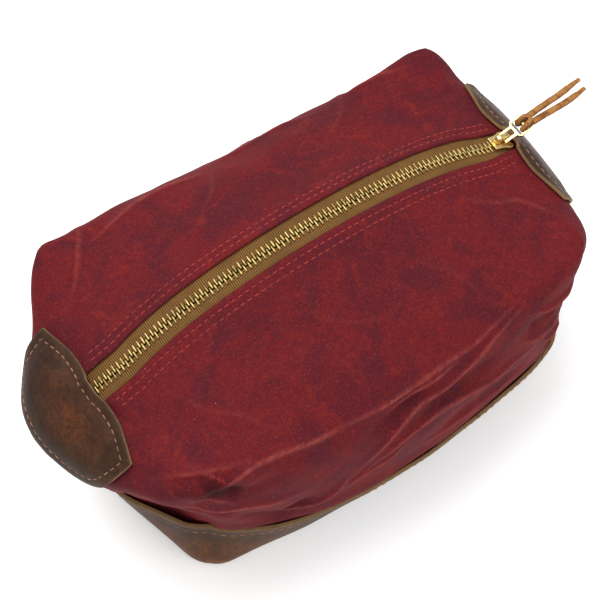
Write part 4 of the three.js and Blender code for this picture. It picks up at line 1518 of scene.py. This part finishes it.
@dataclass
class LeatherBase:
    """The boat-shaped leather tray that the bag stands in."""

    finishes: Finishes
    leather: float = 1.9
    floor_rings: int = 12
    wall_rows: int = 34
    stitch_height: float = 29.6
    rim_height: float = 35.0

    def build(self) -> None:
        """Builds the tray and the row of stitches below its rim."""
        sides = ((0, 120), (1, 72), (2, 120), (3, 72))
        turns = [np.linspace(first, first + 1, count + 1)[:-1] for first, count in sides]
        turns = np.concatenate([*turns, [4.0]])
        levels = BASE_LOFT.even_levels(0.0, 3.0, self.wall_rows)
        wall = BASE_LOFT.skin(turns[:, None], levels[None, :])
        wall = self._eased(wall)
        rings = np.linspace(0, 1, self.floor_rings, endpoint=False)
        floor = wall[:, :1] * rings[None, :, None]
        floor[..., 2] = 0.25 * (1 - rings**2)[None, :]
        places = np.concatenate([floor, wall], axis=1)
        tray = lay_grid("leather_tray", places, self._chart(places))
        self._masks(tray, places)
        wear(tray, self.finishes.base, self.finishes.raw_edge)
        merge_doubles(tray, 2e-6)
        thicken(tray, self.leather, rim=1)
        soften_edges(tray, 0.35, 2, 50)
        smooth(tray, 50)
        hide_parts("leather_base")
        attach(tray, "bag")
        self._sew(wall)

    def _eased(self, wall: Array) -> Array:
        """Hand-made unevenness: a wavy rim and leather that bows a little."""
        eased = wall.copy()
        x, y, z = wall[..., 0], wall[..., 1], wall[..., 2]
        turn = np.arctan2(y / 65, x / 100)
        up = (z / self.rim_height) ** 2
        eased[..., 2] += up * (0.7 * np.sin(3 * turn + 0.6) + 0.4 * np.sin(7 * turn + 2.1))
        rounded = 1.6 * np.exp(-z / 1.6)
        reach = np.maximum(np.hypot(x, y), 1e-6)
        out = 0.8 * lumps(wall, 26) * smooth_step(z / 10) - rounded
        eased[..., 0] += x / reach * out
        eased[..., 1] += y / reach * out
        return eased

    @staticmethod
    def _chart(places: Array) -> Array:
        """UV in metres: round the rim, and outwards from the middle of the floor."""
        across = steps_along(places[:, -1])[:, None] + np.zeros(places.shape[1])
        out = np.concatenate(
            [
                np.zeros((len(places), 1)),
                np.cumsum(np.linalg.norm(np.diff(places, axis=1), axis=2), axis=1),
            ], axis=1
        )
        return np.stack([across, out], axis=2) * MM

    def _masks(self, tray: bpy.types.Object, places: Array) -> None:
        """Warm, rubbed lower corners and a worn rim."""
        x, y, z = places[..., 0], places[..., 1], places[..., 2]
        corner = np.exp(-(((np.abs(x) - 92) / 34) ** 2) - (((np.abs(y) - 58) / 30) ** 2))
        low = smooth_step((30 - z) / 24)
        write_mask(tray, "heart", (corner * low * np.where(x < 0, 1.0, 0.6)).T)
        write_mask(
            tray,
            "worn",
            (0.75 * np.exp(-np.abs(z - self.rim_height) / 0.9) + 0.5 * corner * np.exp(-z / 3)).T,
        )

    def _sew(self, wall: Array) -> None:
        """Copper stitches all round, below the rim."""
        line = []
        for column in wall:
            height = column[:, 2]
            wanted = self.stitch_height + (height[-1] - self.rim_height)
            line.append(points_along(column, height, wanted))
        line = np.array(line)
        way = np.gradient(line, axis=0)
        outward = np.cross(way, np.array([0.0, 0.0, 1.0]))
        outward /= np.linalg.norm(outward, axis=1, keepdims=True)
        row = Stitching(
            self.finishes.copper_thread, pitch=4.3, length=3.0, width=0.6,
        ).sew(line, outward, "tray_stitches")
        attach(row, "bag")


@dataclass
class EndPatch:
    """A D of leather over one end of the zip."""

    end: str
    finishes: Finishes
    half_width: float = 37.0
    depth: float = 37.6
    setback: float = 9.0
    overlap: float = 2.6
    tip_depth: float = 1.6
    fullness: float = 2.7
    leather: float = 1.5
    clearance: float = 0.7
    shoulder: float = 0.26
    stitch_inset: float = 3.9
    half_strings: int = 48
    columns: int = 73
    rows: int = 45
    strings: Array = field(init=False)
    runs: Array = field(init=False)
    across: Array = field(init=False)

    @property
    def way(self) -> int:
        """1 at the end with the closed slider, -1 at the other."""
        return 1 if self.end == "right" else -1

    def __post_init__(self) -> None:
        """Strings the canvas's end from its top crease down, side by side."""
        reach = self.half_strings
        self.across = np.linspace(-reach, reach, 2 * reach + 1)
        fine = np.linspace(5.0, SLOT_LEVEL, 200)
        half = np.abs(CANVAS_LOFT.between(fine)[:, 1])
        strings = []
        for y in self.across:
            top = float(np.interp(-abs(y), -half, fine)) if abs(y) > half[-1] else SLOT_LEVEL
            levels = np.linspace(top, 1.5, 160)
            run = np.clip(y / CANVAS_LOFT.between(levels)[:, 1], -1, 1)
            turns = 1 + (run + 1) / 2 if self.way > 0 else 3 + (1 - run) / 2
            strings.append(CANVAS_LOFT.skin(np.clip(turns, 1.0, 4.0 - 1e-6), levels))
        self.strings = np.array(strings)
        self.runs = np.array([steps_along(string) for string in self.strings])

    def lay(self, across: Array, down: Array) -> Array:
        """Places on the canvas's end, from distances across it and down from the crease."""
        shape = across.shape
        index = np.clip(across.ravel() + self.half_strings, 0, 2 * self.half_strings - 0.001)
        first = index.astype(int)
        share = (index - first)[:, None]
        ends = []
        for step in (0, 1):
            ends.append(
                np.array(
                    [
                        self._along(self.strings[i + step], self.runs[i + step], b)
                        for i, b in zip(first, down.ravel())
                    ]
                )
            )
        return (ends[0] * (1 - share) + ends[1] * share).reshape(*shape, 3)

    @staticmethod
    def _along(string: Array, run: Array, distance: float) -> Array:
        """The place at a distance down a string, or straight on above its top."""
        place = points_along(string, run, distance)
        if distance < 0:
            way = string[6] - string[0]
            place = string[0] + way / np.linalg.norm(way) * distance
        return place

    def edge(self, share: Array) -> tuple[Array, Array]:
        """How far down the top edge and the bottom edge lie, at a share of the half width."""
        top = self.setback * share**2 - self.overlap * (1 - share**2) ** 2
        drop = (self.depth - self.tip_depth) * np.sqrt(
            np.clip(1 - np.abs(share) ** self.fullness, 0, 1)
        )
        return top, top + self.tip_depth + drop

    def build(self) -> None:
        """Builds the leather and its stitches."""
        across, down = self._net()
        skin = self.lay(across, down)
        outward = self._outward(across, down)
        lifted = skin + outward * (self.leather + self.clearance)
        away = self._from_edge(across, down)
        inside = away - self.stitch_inset
        puff = 0.5 * smooth_step(inside / 7) - 0.2 * np.exp(-((inside / 1.1) ** 2))
        lifted += outward * (puff + 0.2 * lumps(skin, 13, (4, 4, 4)))[..., None]
        patch = lay_grid(f"{self.end}_patch", lifted, np.stack([across, down], axis=2) * MM)
        heart = np.exp(-((across / 20) ** 2) - (((down - 14) / 11) ** 2))
        write_mask(patch, "heart", heart.T)
        write_mask(patch, "worn", (0.6 * np.exp(-away / 0.4)).T)
        wear(patch, self.finishes.patch, self.finishes.raw_edge)
        thicken(patch, self.leather, rim=1)
        soften_edges(patch, 0.3, 2, 50)
        smooth(patch, 50)
        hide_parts(f"{self.end}_end_patch")
        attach(patch, "bag")
        self._sew()

    def _net(self) -> tuple[Array, Array]:
        """Across and down of the leather's net, spread between the outline's four sides."""
        share = np.sin(np.linspace(-math.pi / 2, math.pi / 2, 241))
        top, bottom = self.edge(share)
        upper = np.column_stack([share * self.half_width, top])
        lower = np.column_stack([share * self.half_width, bottom])
        lower = np.vstack([upper[:1], lower, upper[-1:]])

        def walk(line: Array, low: float, high: float, count: int) -> Array:
            """Even steps along part of a line, from one share of its length to another."""
            run = steps_along(line)
            wanted = np.linspace(low, high, count) * run[-1]
            return points_along(line, run, wanted)

        along, low_along = walk(upper, 0, 1, self.columns), walk(
            lower, self.shoulder, 1 - self.shoulder, self.columns,
        )
        first, last = walk(lower, 0, self.shoulder, self.rows), walk(
            lower, 1, 1 - self.shoulder, self.rows,
        )
        u = np.linspace(0, 1, self.columns)[:, None, None]
        v = np.linspace(0, 1, self.rows)[None, :, None]
        net = (1 - v) * along[:, None] + v * low_along[:, None]
        net = net + (1 - u) * first[None] + u * last[None]
        net -= (1 - u) * ((1 - v) * along[0] + v * low_along[0]) + u * (
            (1 - v) * along[-1] + v * low_along[-1]
        )
        net = net[:: -self.way]
        return net[..., 0], net[..., 1]

    def _outward(self, across: Array, down: Array) -> Array:
        """The canvas's normals below places on the patch."""
        side_step = self.lay(across + 0.7, down) - self.lay(across - 0.7, down)
        down_step = self.lay(across, down + 0.7) - self.lay(across, down - 0.7)
        outward = np.cross(side_step, down_step) * -self.way
        return outward / np.linalg.norm(outward, axis=-1, keepdims=True)

    def _outline(self) -> Array:
        """The patch's outline laid flat: across and down, once round."""
        share = np.sin(np.linspace(-math.pi / 2, math.pi / 2, 121))
        top, bottom = self.edge(share)
        upper = np.stack([share * self.half_width, top], axis=1)
        lower = np.stack([share * self.half_width, bottom], axis=1)[::-1]
        return np.concatenate([upper, lower])

    def _from_edge(self, across: Array, down: Array) -> Array:
        """The distance of each flat place from the outline."""
        outline = self._outline()
        spots = np.stack([across.ravel(), down.ravel()], axis=1)
        gaps = np.linalg.norm(spots[:, None] - outline[None], axis=2)
        return gaps.min(axis=1).reshape(across.shape)

    def _sew(self) -> None:
        """Copper stitches all round, inside the cut edge."""
        outline = self._outline()
        centre = np.array([0.0, 17.0])
        ring = np.concatenate([outline[-2:-1], outline, outline[1:2]])
        way = ring[2:] - ring[:-2]
        inwards = np.stack([-way[:, 1], way[:, 0]], axis=1)
        inwards /= np.maximum(np.linalg.norm(inwards, axis=1, keepdims=True), 1e-9)
        inwards *= np.sign(np.sum((centre - outline) * inwards, axis=1))[:, None]
        line = outline + inwards * self.stitch_inset
        kept = self._from_edge(line[:, 0], line[:, 1]) > self.stitch_inset * 0.93
        line = line[kept]
        line = np.vstack([line, line[:1]])
        flat = np.column_stack([line, np.zeros(len(line))])
        run = steps_along(flat)
        even = np.linspace(0, run[-1], 160)
        across, down = (np.interp(even, run, flat[:, axis]) for axis in (0, 1))
        skin = self.lay(across, down)
        outward = self._outward(across, down)
        place = skin + outward * (self.leather + self.clearance - 0.15)
        row = Stitching(self.finishes.copper_thread, pitch=3.7, length=2.7, width=0.55).sew(
            place, outward, f"{self.end}_patch_stitches"
        )
        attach(row, "bag")


# ---------------------------------------------------------------- the inside


@dataclass
class Inside:
    """The lining of the floor and the tapes over the end seams."""

    cloth: Cloth
    finishes: Finishes
    floor_height: float = 4.4
    tape_wall: float = 1.0

    def build(self) -> None:
        """Builds the floor and the two seam tapes."""
        self._floor()
        middle = int(np.argmin(np.abs(self.cloth.around - 1.5)))
        self._seam_tape("left", [-3, -2, 0, 1, 2, 3])
        self._seam_tape("right", [middle + step for step in (-3, -2, -1, 0, 1, 2)])

    def _floor(self) -> None:
        """A soft floor that meets the foot of the walls."""
        turns = np.linspace(0, 4, 241)
        rim = CANVAS_LOFT.skin(turns, np.full(len(turns), 0.2))
        rings = np.linspace(0, 1, 30)
        places = rim[:, None] * rings[None, :, None]
        places *= np.array([0.975, 0.965, 1.0])
        places[..., 2] = self.floor_height + 0.7 * lumps(places, 30) + 0.8 * (1 - rings**4)[None, :]
        chart = places[..., :2] * MM
        floor = lay_grid("lining_floor", places, chart)
        wear(floor, self.finishes.lining)
        merge_doubles(floor, 2e-6)
        thicken(floor, 1.2)
        smooth(floor, 50)
        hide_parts("canvas_floor")
        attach(floor, "bag")

    def _seam_tape(self, end: str, columns: list[int]) -> None:
        """The tape that covers one end's seam inside.

        Args:
            end: left or right.
            columns: the cloth's columns that it covers.
        """
        low, high = self.cloth.row(0.5), self.cloth.row(6.6)
        places = self.cloth.places[columns, low:high]
        inward = -self.cloth.normals[columns, low:high]
        places = places + inward * (1.5 + self.tape_wall)
        chart = np.stack(
            np.meshgrid(np.arange(len(columns)) * 1.1, np.arange(high - low) * 1.1, indexing="ij"),
            axis=2,
        )
        tape = lay_grid(f"{end}_seam_tape", places[::-1], chart * MM)
        wear(tape, self.finishes.binding)
        thicken(tape, self.tape_wall)
        soften_edges(tape, 0.2)
        smooth(tape, 50)
        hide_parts(f"{end}_seam_binding")
        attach(tape, "bag")


# ---------------------------------------------------------------- the zip


@dataclass
class Zip:
    """The arched brass zip: its tapes, its teeth and its stops."""

    finishes: Finishes
    radius: float = 265.065
    centre_z: float = -136.065
    half_run: float = 111.0
    first_tooth: float = -109.0
    last_tooth: float = 100.4
    pitch: float = 2.4
    tape_wall: float = 0.6
    tape_profile: tuple[tuple[float, float], ...] = (
        (1.0, -0.5), (1.15, 0.2), (1.75, 0.45), (2.35, 0.2), (2.8, 0.0),
        (5, 0), (7.5, -0.1), (9, -0.8), (10.5, -1.8),
    )
    tooth_size: Point = (0.86, 3.7, 1.9)
    tooth_middle: Point = (0.0, 1.2, 0.1)
    tooth_crown: float = 0.16
    crown_inset: float = 0.24
    bottom_stop_shift: Point = (-2.4, 0.0, -1.0)

    def place(self, run: Array, y: Array, lift: Array) -> Array:
        """Places on the arch: along it from its top, across it and above the tape."""
        turn = np.asarray(run) / self.radius
        out = self.radius + np.asarray(lift)
        places = np.stack(
            np.broadcast_arrays(out * np.sin(turn), y, self.centre_z + out * np.cos(turn)), axis=-1,
        )
        return bow_back(places)

    def build(self) -> None:
        """Builds both sides, each in two halves that open with the lips."""
        for side, way in (("front", -1), ("back", 1)):
            for end, low, high in (("left", -self.half_run, 0.0), ("right", 0.0, self.half_run)):
                self._tape(side, end, way, low, high)
                self._teeth(side, end, way)
        stop = refined_copy(
            "zip_bottom_stop", "zip_bottom_stop_brass", 0.25, self.finishes.teeth,
        )
        stop.data.transform(Matrix.Translation(in_metres(self.bottom_stop_shift)))
        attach(stop, "bag")

    def _tape(self, side: str, end: str, way: int, low: float, high: float) -> None:
        """One half of one tape, with the cord that its teeth grip."""
        across = np.array([y for y, _ in self.tape_profile]) * way
        lift = np.array([height for _, height in self.tape_profile]) + self.tape_wall / 2
        across, lift = across[::way], lift[::way]
        run = np.linspace(low, high, 91)
        places = self.place(run[:, None], across[None, :], lift[None, :])
        chart = np.stack(np.broadcast_arrays(run[:, None], across[None, :]), axis=2) * MM
        tape = lay_grid(f"zip_tape_{side}_{end}", places, chart)
        wear(tape, self.finishes.tape)
        thicken(tape, self.tape_wall)
        smooth(tape, 50)
        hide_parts(f"zip_tape_{side}")
        open_with_zip(tape)

    def _tooth(self) -> bpy.types.Object:
        """One brass tooth, gripping the tape's cord, its head past the zip's middle."""
        deselect_all()
        bpy.ops.mesh.primitive_cube_add(size=1, location=in_metres(self.tooth_middle))
        tooth = bpy.context.active_object
        tooth.scale = in_metres(self.tooth_size)
        settle(tooth)
        for polygon in tooth.data.polygons:
            polygon.select = polygon.normal.z > 0.9
        bpy.context.tool_settings.mesh_select_mode = (False, False, True)
        bpy.ops.object.mode_set(mode="EDIT")
        bpy.ops.mesh.inset(thickness=self.crown_inset * MM, depth=0)
        bpy.ops.transform.translate(value=(0, 0, self.tooth_crown * MM))
        bpy.ops.object.mode_set(mode="OBJECT")
        bpy.context.tool_settings.mesh_select_mode = (True, False, False)
        soften_edges(tooth, 0.12, 1)
        smooth(tooth, 50)
        return tooth

    def _teeth(self, side: str, end: str, way: int) -> None:
        """One half of one row of teeth, with the top stop at the slider's end."""
        shift = 0.0 if way < 0 else 0.5
        places = []
        for number in range(-60, 60):
            run = (number + shift) * self.pitch
            x = self.radius * math.sin(run / self.radius)
            if self.first_tooth < x < self.last_tooth and (x < 0) == (end == "left"):
                places.append(self._tooth_frame(run, way))
        if end == "right":
            run = self.radius * math.asin((self.last_tooth + 1.7) / self.radius)
            places.append(self._tooth_frame(run, way) @ Matrix.Diagonal((1.6, 0.62, 1.05, 1)))
        teeth = lay_copies(self._tooth(), places, f"zip_teeth_{side}_{end}")
        wear(teeth, self.finishes.teeth)
        if end == "right":
            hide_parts(f"zip_teeth_{side}", f"zip_top_stop_{side}")
        else:
            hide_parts(f"zip_teeth_{side}")
        open_with_zip(teeth)

    def _tooth_frame(self, run: float, way: int) -> Matrix:
        """Where a tooth stands on the arch, its head towards the zip's middle."""
        turn = run / self.radius
        spot = self.place(np.array(run), np.array(0.0), np.array(0.0))
        frame_here = Matrix.Translation(Vector(spot) * MM) @ Matrix.Rotation(turn, 4, "Y")
        if way < 0:
            frame_here = frame_here @ Matrix.Rotation(math.pi, 4, "Z")
        return frame_here


def refined_copy(
    node: str, name: str, bevel: float, material: bpy.types.Material,
) -> bpy.types.Object:
    """A CAD node's shape with rounded edges, which stands for the node.

    Args:
        node: the CAD node.
        name: the new piece's name.
        bevel: how far its edges are rounded, in mm.
        material: its finish.

    Returns:
        The new piece, which rides on nothing yet.
    """
    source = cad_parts[node]
    piece = bpy.data.objects.new(name, source.data.copy())
    bpy.context.collection.objects.link(piece)
    for key in list(piece.keys()):
        del piece[key]
    merge_doubles(piece, 1e-5)
    edit_all(piece, lambda: bpy.ops.mesh.dissolve_limited(angle_limit=math.radians(1)))
    soften_edges(piece, bevel, 3, 30)
    smooth(piece, 35)
    wear(piece, material)
    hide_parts(node)
    return piece


@dataclass
class Slider:
    """The cast brass slider with its bridge, and the puller that hangs on it."""

    finishes: Finishes

    def build(self) -> None:
        """Builds the slider and the puller."""
        for node, name, bevel in (
            ("zip_slider_body", "slider_body", 0.45),
            ("zip_slider_bridge", "slider_bridge", 0.5),
        ):
            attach(refined_copy(node, name, bevel, self.finishes.slider), "slider")
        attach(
            refined_copy("zip_puller", "puller_eye", 0.3, self.finishes.slider),
            "puller",
        )


@dataclass
class Lace:
    """The leather lace: a lark's head on the puller's bar, and two tails."""

    finishes: Finishes
    origin: Point = (115.68, 0.0, 113.85)
    forward: Point = (0.9839, 0.0, 0.1788)
    upward: Point = (-0.1788, 0.0, 0.9839)
    width: float = 3.0
    thickness: float = 2.3
    tail_length: float = 32.0
    long_tail: tuple[Point, ...] = (
        (3.64, 1.8, 0.0), (10, 2.0, -0.4), (16, 2.4, -1.6),
        (22, 3.0, -3.2), (28, 3.8, -4.6), (35, 4.6, -5.8),
    )
    short_tail: tuple[Point, ...] = (
        (3.64, -1.8, 0.0), (10, -1.9, -0.8), (16, -1.8, -2.4),
        (22, -1.4, -4.4), (28, -0.8, -6.0), (34.5, 0.0, -7.2),
    )

    def placed(self, points: Sequence[Point]) -> Array:
        """Points beside the puller's bar, in the model's frame."""
        local = np.asarray(points, float)
        across = np.array([0.0, 1.0, 0.0])
        return (
            np.asarray(self.origin)
            + local[:, :1] * np.asarray(self.forward)
            + local[:, 1:2] * across
            + local[:, 2:] * np.asarray(self.upward)
        )

    def build(self) -> None:
        """Builds the tails as free cords, then the turn round the bar."""
        for name, points in (("long", self.long_tail), ("short", self.short_tail)):
            line = bent_line([tuple(place) for place in self.placed(points)], 40)
            tail = self._strap(f"lace_{name}_end", line, self.width, self.thickness, 0.35)
            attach(tail, "lace")
            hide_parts(f"lace_tail_{name}")
        self._hitch()

    def _hitch(self) -> None:
        """The lark's head: under the bar, over it, and across both tails."""
        half = (
            (4.2, 1.8, -0.1), (2.0, 1.75, -1.5), (0.0, 1.75, -2.05), (-1.9, 1.8, -0.9),
            (-1.9, 1.9, 1.0), (0.0, 1.95, 2.1), (1.9, 1.7, 2.3), (3.0, 0.9, 2.35),
        )
        other = tuple((x, -y, z) for x, y, z in reversed(half))
        line = bent_line(
            [tuple(place) for place in self.placed(half + ((3.25, 0.0, 2.35),) + other)], 90,
        )
        turn = self._strap("lace_turn", line, 2.1, 2.1)
        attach(turn, "lace")
        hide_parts("lace_hitch")

    def _strap(
        self, name: str, line: Array, width: float, thickness: float, taper: float = 0.0,
    ) -> bpy.types.Object:
        """A strip of lace along a line, a little uneven, with cut ends.

        Args:
            name: the new piece's name.
            line: (n, 3) its middle, in mm.
            width: across, in mm.
            thickness: through, in mm.
            taper: the share of its width that it loses towards its end.

        Returns:
            The strap, closed at both ends.
        """
        way = np.gradient(line, axis=0)
        way /= np.linalg.norm(way, axis=1, keepdims=True)
        side = np.tile([0.0, 1.0, 0.0], (len(line), 1))
        for index in range(len(line)):
            previous = side[index - 1] if index else side[0]
            side[index] = previous - way[index] * previous.dot(way[index])
            side[index] /= np.linalg.norm(side[index])
        up = np.cross(way, side)
        angles = np.linspace(0, math.tau, 17)
        slim = (1 - taper * smooth_step(np.linspace(-2.2, 1, len(line))))[None, :, None]
        edge_on = np.sign(np.cos(angles)) * np.abs(np.cos(angles)) ** 0.75 * width / 2
        flat_on = np.sign(np.sin(angles)) * np.abs(np.sin(angles)) ** 0.75 * thickness / 2
        places = line[None] + slim * (
            edge_on[:, None, None] * side[None] + flat_on[:, None, None] * up[None]
        )
        rough = lumps(places, 1.7)
        rough[-1] = rough[0]
        outward = places - line[None]
        outward /= np.maximum(np.linalg.norm(outward, axis=2, keepdims=True), 1e-9)
        places = places + outward * (0.16 * rough)[..., None]
        places[-1] = places[0]
        strap = lay_grid(name, places)
        merge_doubles(strap, 1e-6)
        edit_all(
            strap,
            lambda: bpy.ops.mesh.fill_holes(sides=0),
            lambda: bpy.ops.mesh.normals_make_consistent(inside=False),
        )
        smooth(strap, 60)
        wear(strap, self.finishes.lace)
        return strap


# ---------------------------------------------------------------- the studio


@dataclass
class Studio:
    """A pale floor, soft lights and the camera."""

    target: Point = (0.0, 0.0, 60.0)
    back: Point = (-0.2532, -0.3712, 0.8934)
    distance: float = 690.0
    lens: float = 90.0
    shift: tuple[float, float] = (-0.0167, 0.0133)
    air_strength: float = 0.67
    floor_size_m: float = 60.0
    floor_glow: float = 0.3

    def camera(self) -> None:
        """Sets the camera up."""
        data = bpy.data.cameras.new("camera")
        data.lens, data.sensor_width = self.lens, 36.0
        data.shift_x, data.shift_y = self.shift
        data.clip_start, data.clip_end = 0.01, 20.0
        camera = bpy.data.objects.new("camera", data)
        bpy.context.collection.objects.link(camera)
        back = Vector(self.back).normalized()
        camera.location = (Vector(self.target) + back * self.distance) * MM
        camera.rotation_euler = (-back).to_track_quat("-Z", "Y").to_euler()
        bpy.context.scene.camera = camera

    def lights(self) -> None:
        """Hangs the lights and lays the floor."""
        world = bpy.data.worlds.new("studio air")
        world.use_nodes = True
        air = world.node_tree.nodes["Background"]
        air.inputs["Color"].default_value = (1.0, 1.0, 1.0, 1)
        air.inputs["Strength"].default_value = self.air_strength
        bpy.context.scene.world = world
        for name, place, size, power, tint in (
            ("key", (-0.1, 0.5, 1.4), 1.1, 17.0, (1.0, 0.985, 0.96)),
            ("fill", (0.5, -1.1, 1.0), 1.2, 6.0, (0.97, 0.985, 1.0)),
        ):
            data = bpy.data.lights.new(name, "AREA")
            data.shape, data.size, data.energy, data.color = "DISK", size, power, tint
            light = bpy.data.objects.new(name, data)
            bpy.context.collection.objects.link(light)
            light.location = place
            aim = Vector(self.target) * MM - Vector(place)
            light.rotation_euler = aim.to_track_quat("-Z", "Y").to_euler()
        deselect_all()
        bpy.ops.mesh.primitive_plane_add(size=self.floor_size_m, location=(0, 0, -0.0004))
        floor = bpy.context.active_object
        floor.name = "studio_floor"
        made, bench, shader = new_material("pale_floor")
        place = bench.place()
        tone = bench.blend(bench.noise(place, 3.0), (0.93, 0.93, 0.93, 1), (0.95, 0.95, 0.95, 1))
        bench.give(shader, Base_Color=tone, Emission_Color=tone)
        bench.give(shader, Emission_Strength=self.floor_glow, Roughness=0.9)
        wear(floor, made)
        bpy.context.scene.view_settings.view_transform = "Standard"


def main() -> None:
    """Builds the bag from the outside in, in the CAD's frame."""
    logging.basicConfig(level=logging.INFO, format="%(message)s")
    studio = Studio()
    studio.camera()
    finishes = Finishes()
    Lace(finishes).build()
    LOG.info("lace done")
    studio.lights()
    cloth = Cloth(CANVAS_LOFT, CANVAS_FOLDS)
    LOG.info("cloth folded")
    CanvasBody(cloth, finishes).build()
    LOG.info("canvas done")
    LeatherBase(finishes).build()
    for end in ("left", "right"):
        EndPatch(end, finishes).build()
    LOG.info("leather done")
    Inside(cloth, finishes).build()
    Zip(finishes).build()
    Slider(finishes).build()
    LOG.info("zip done")
    deselect_all()


if __name__ == "__main__":
    main()
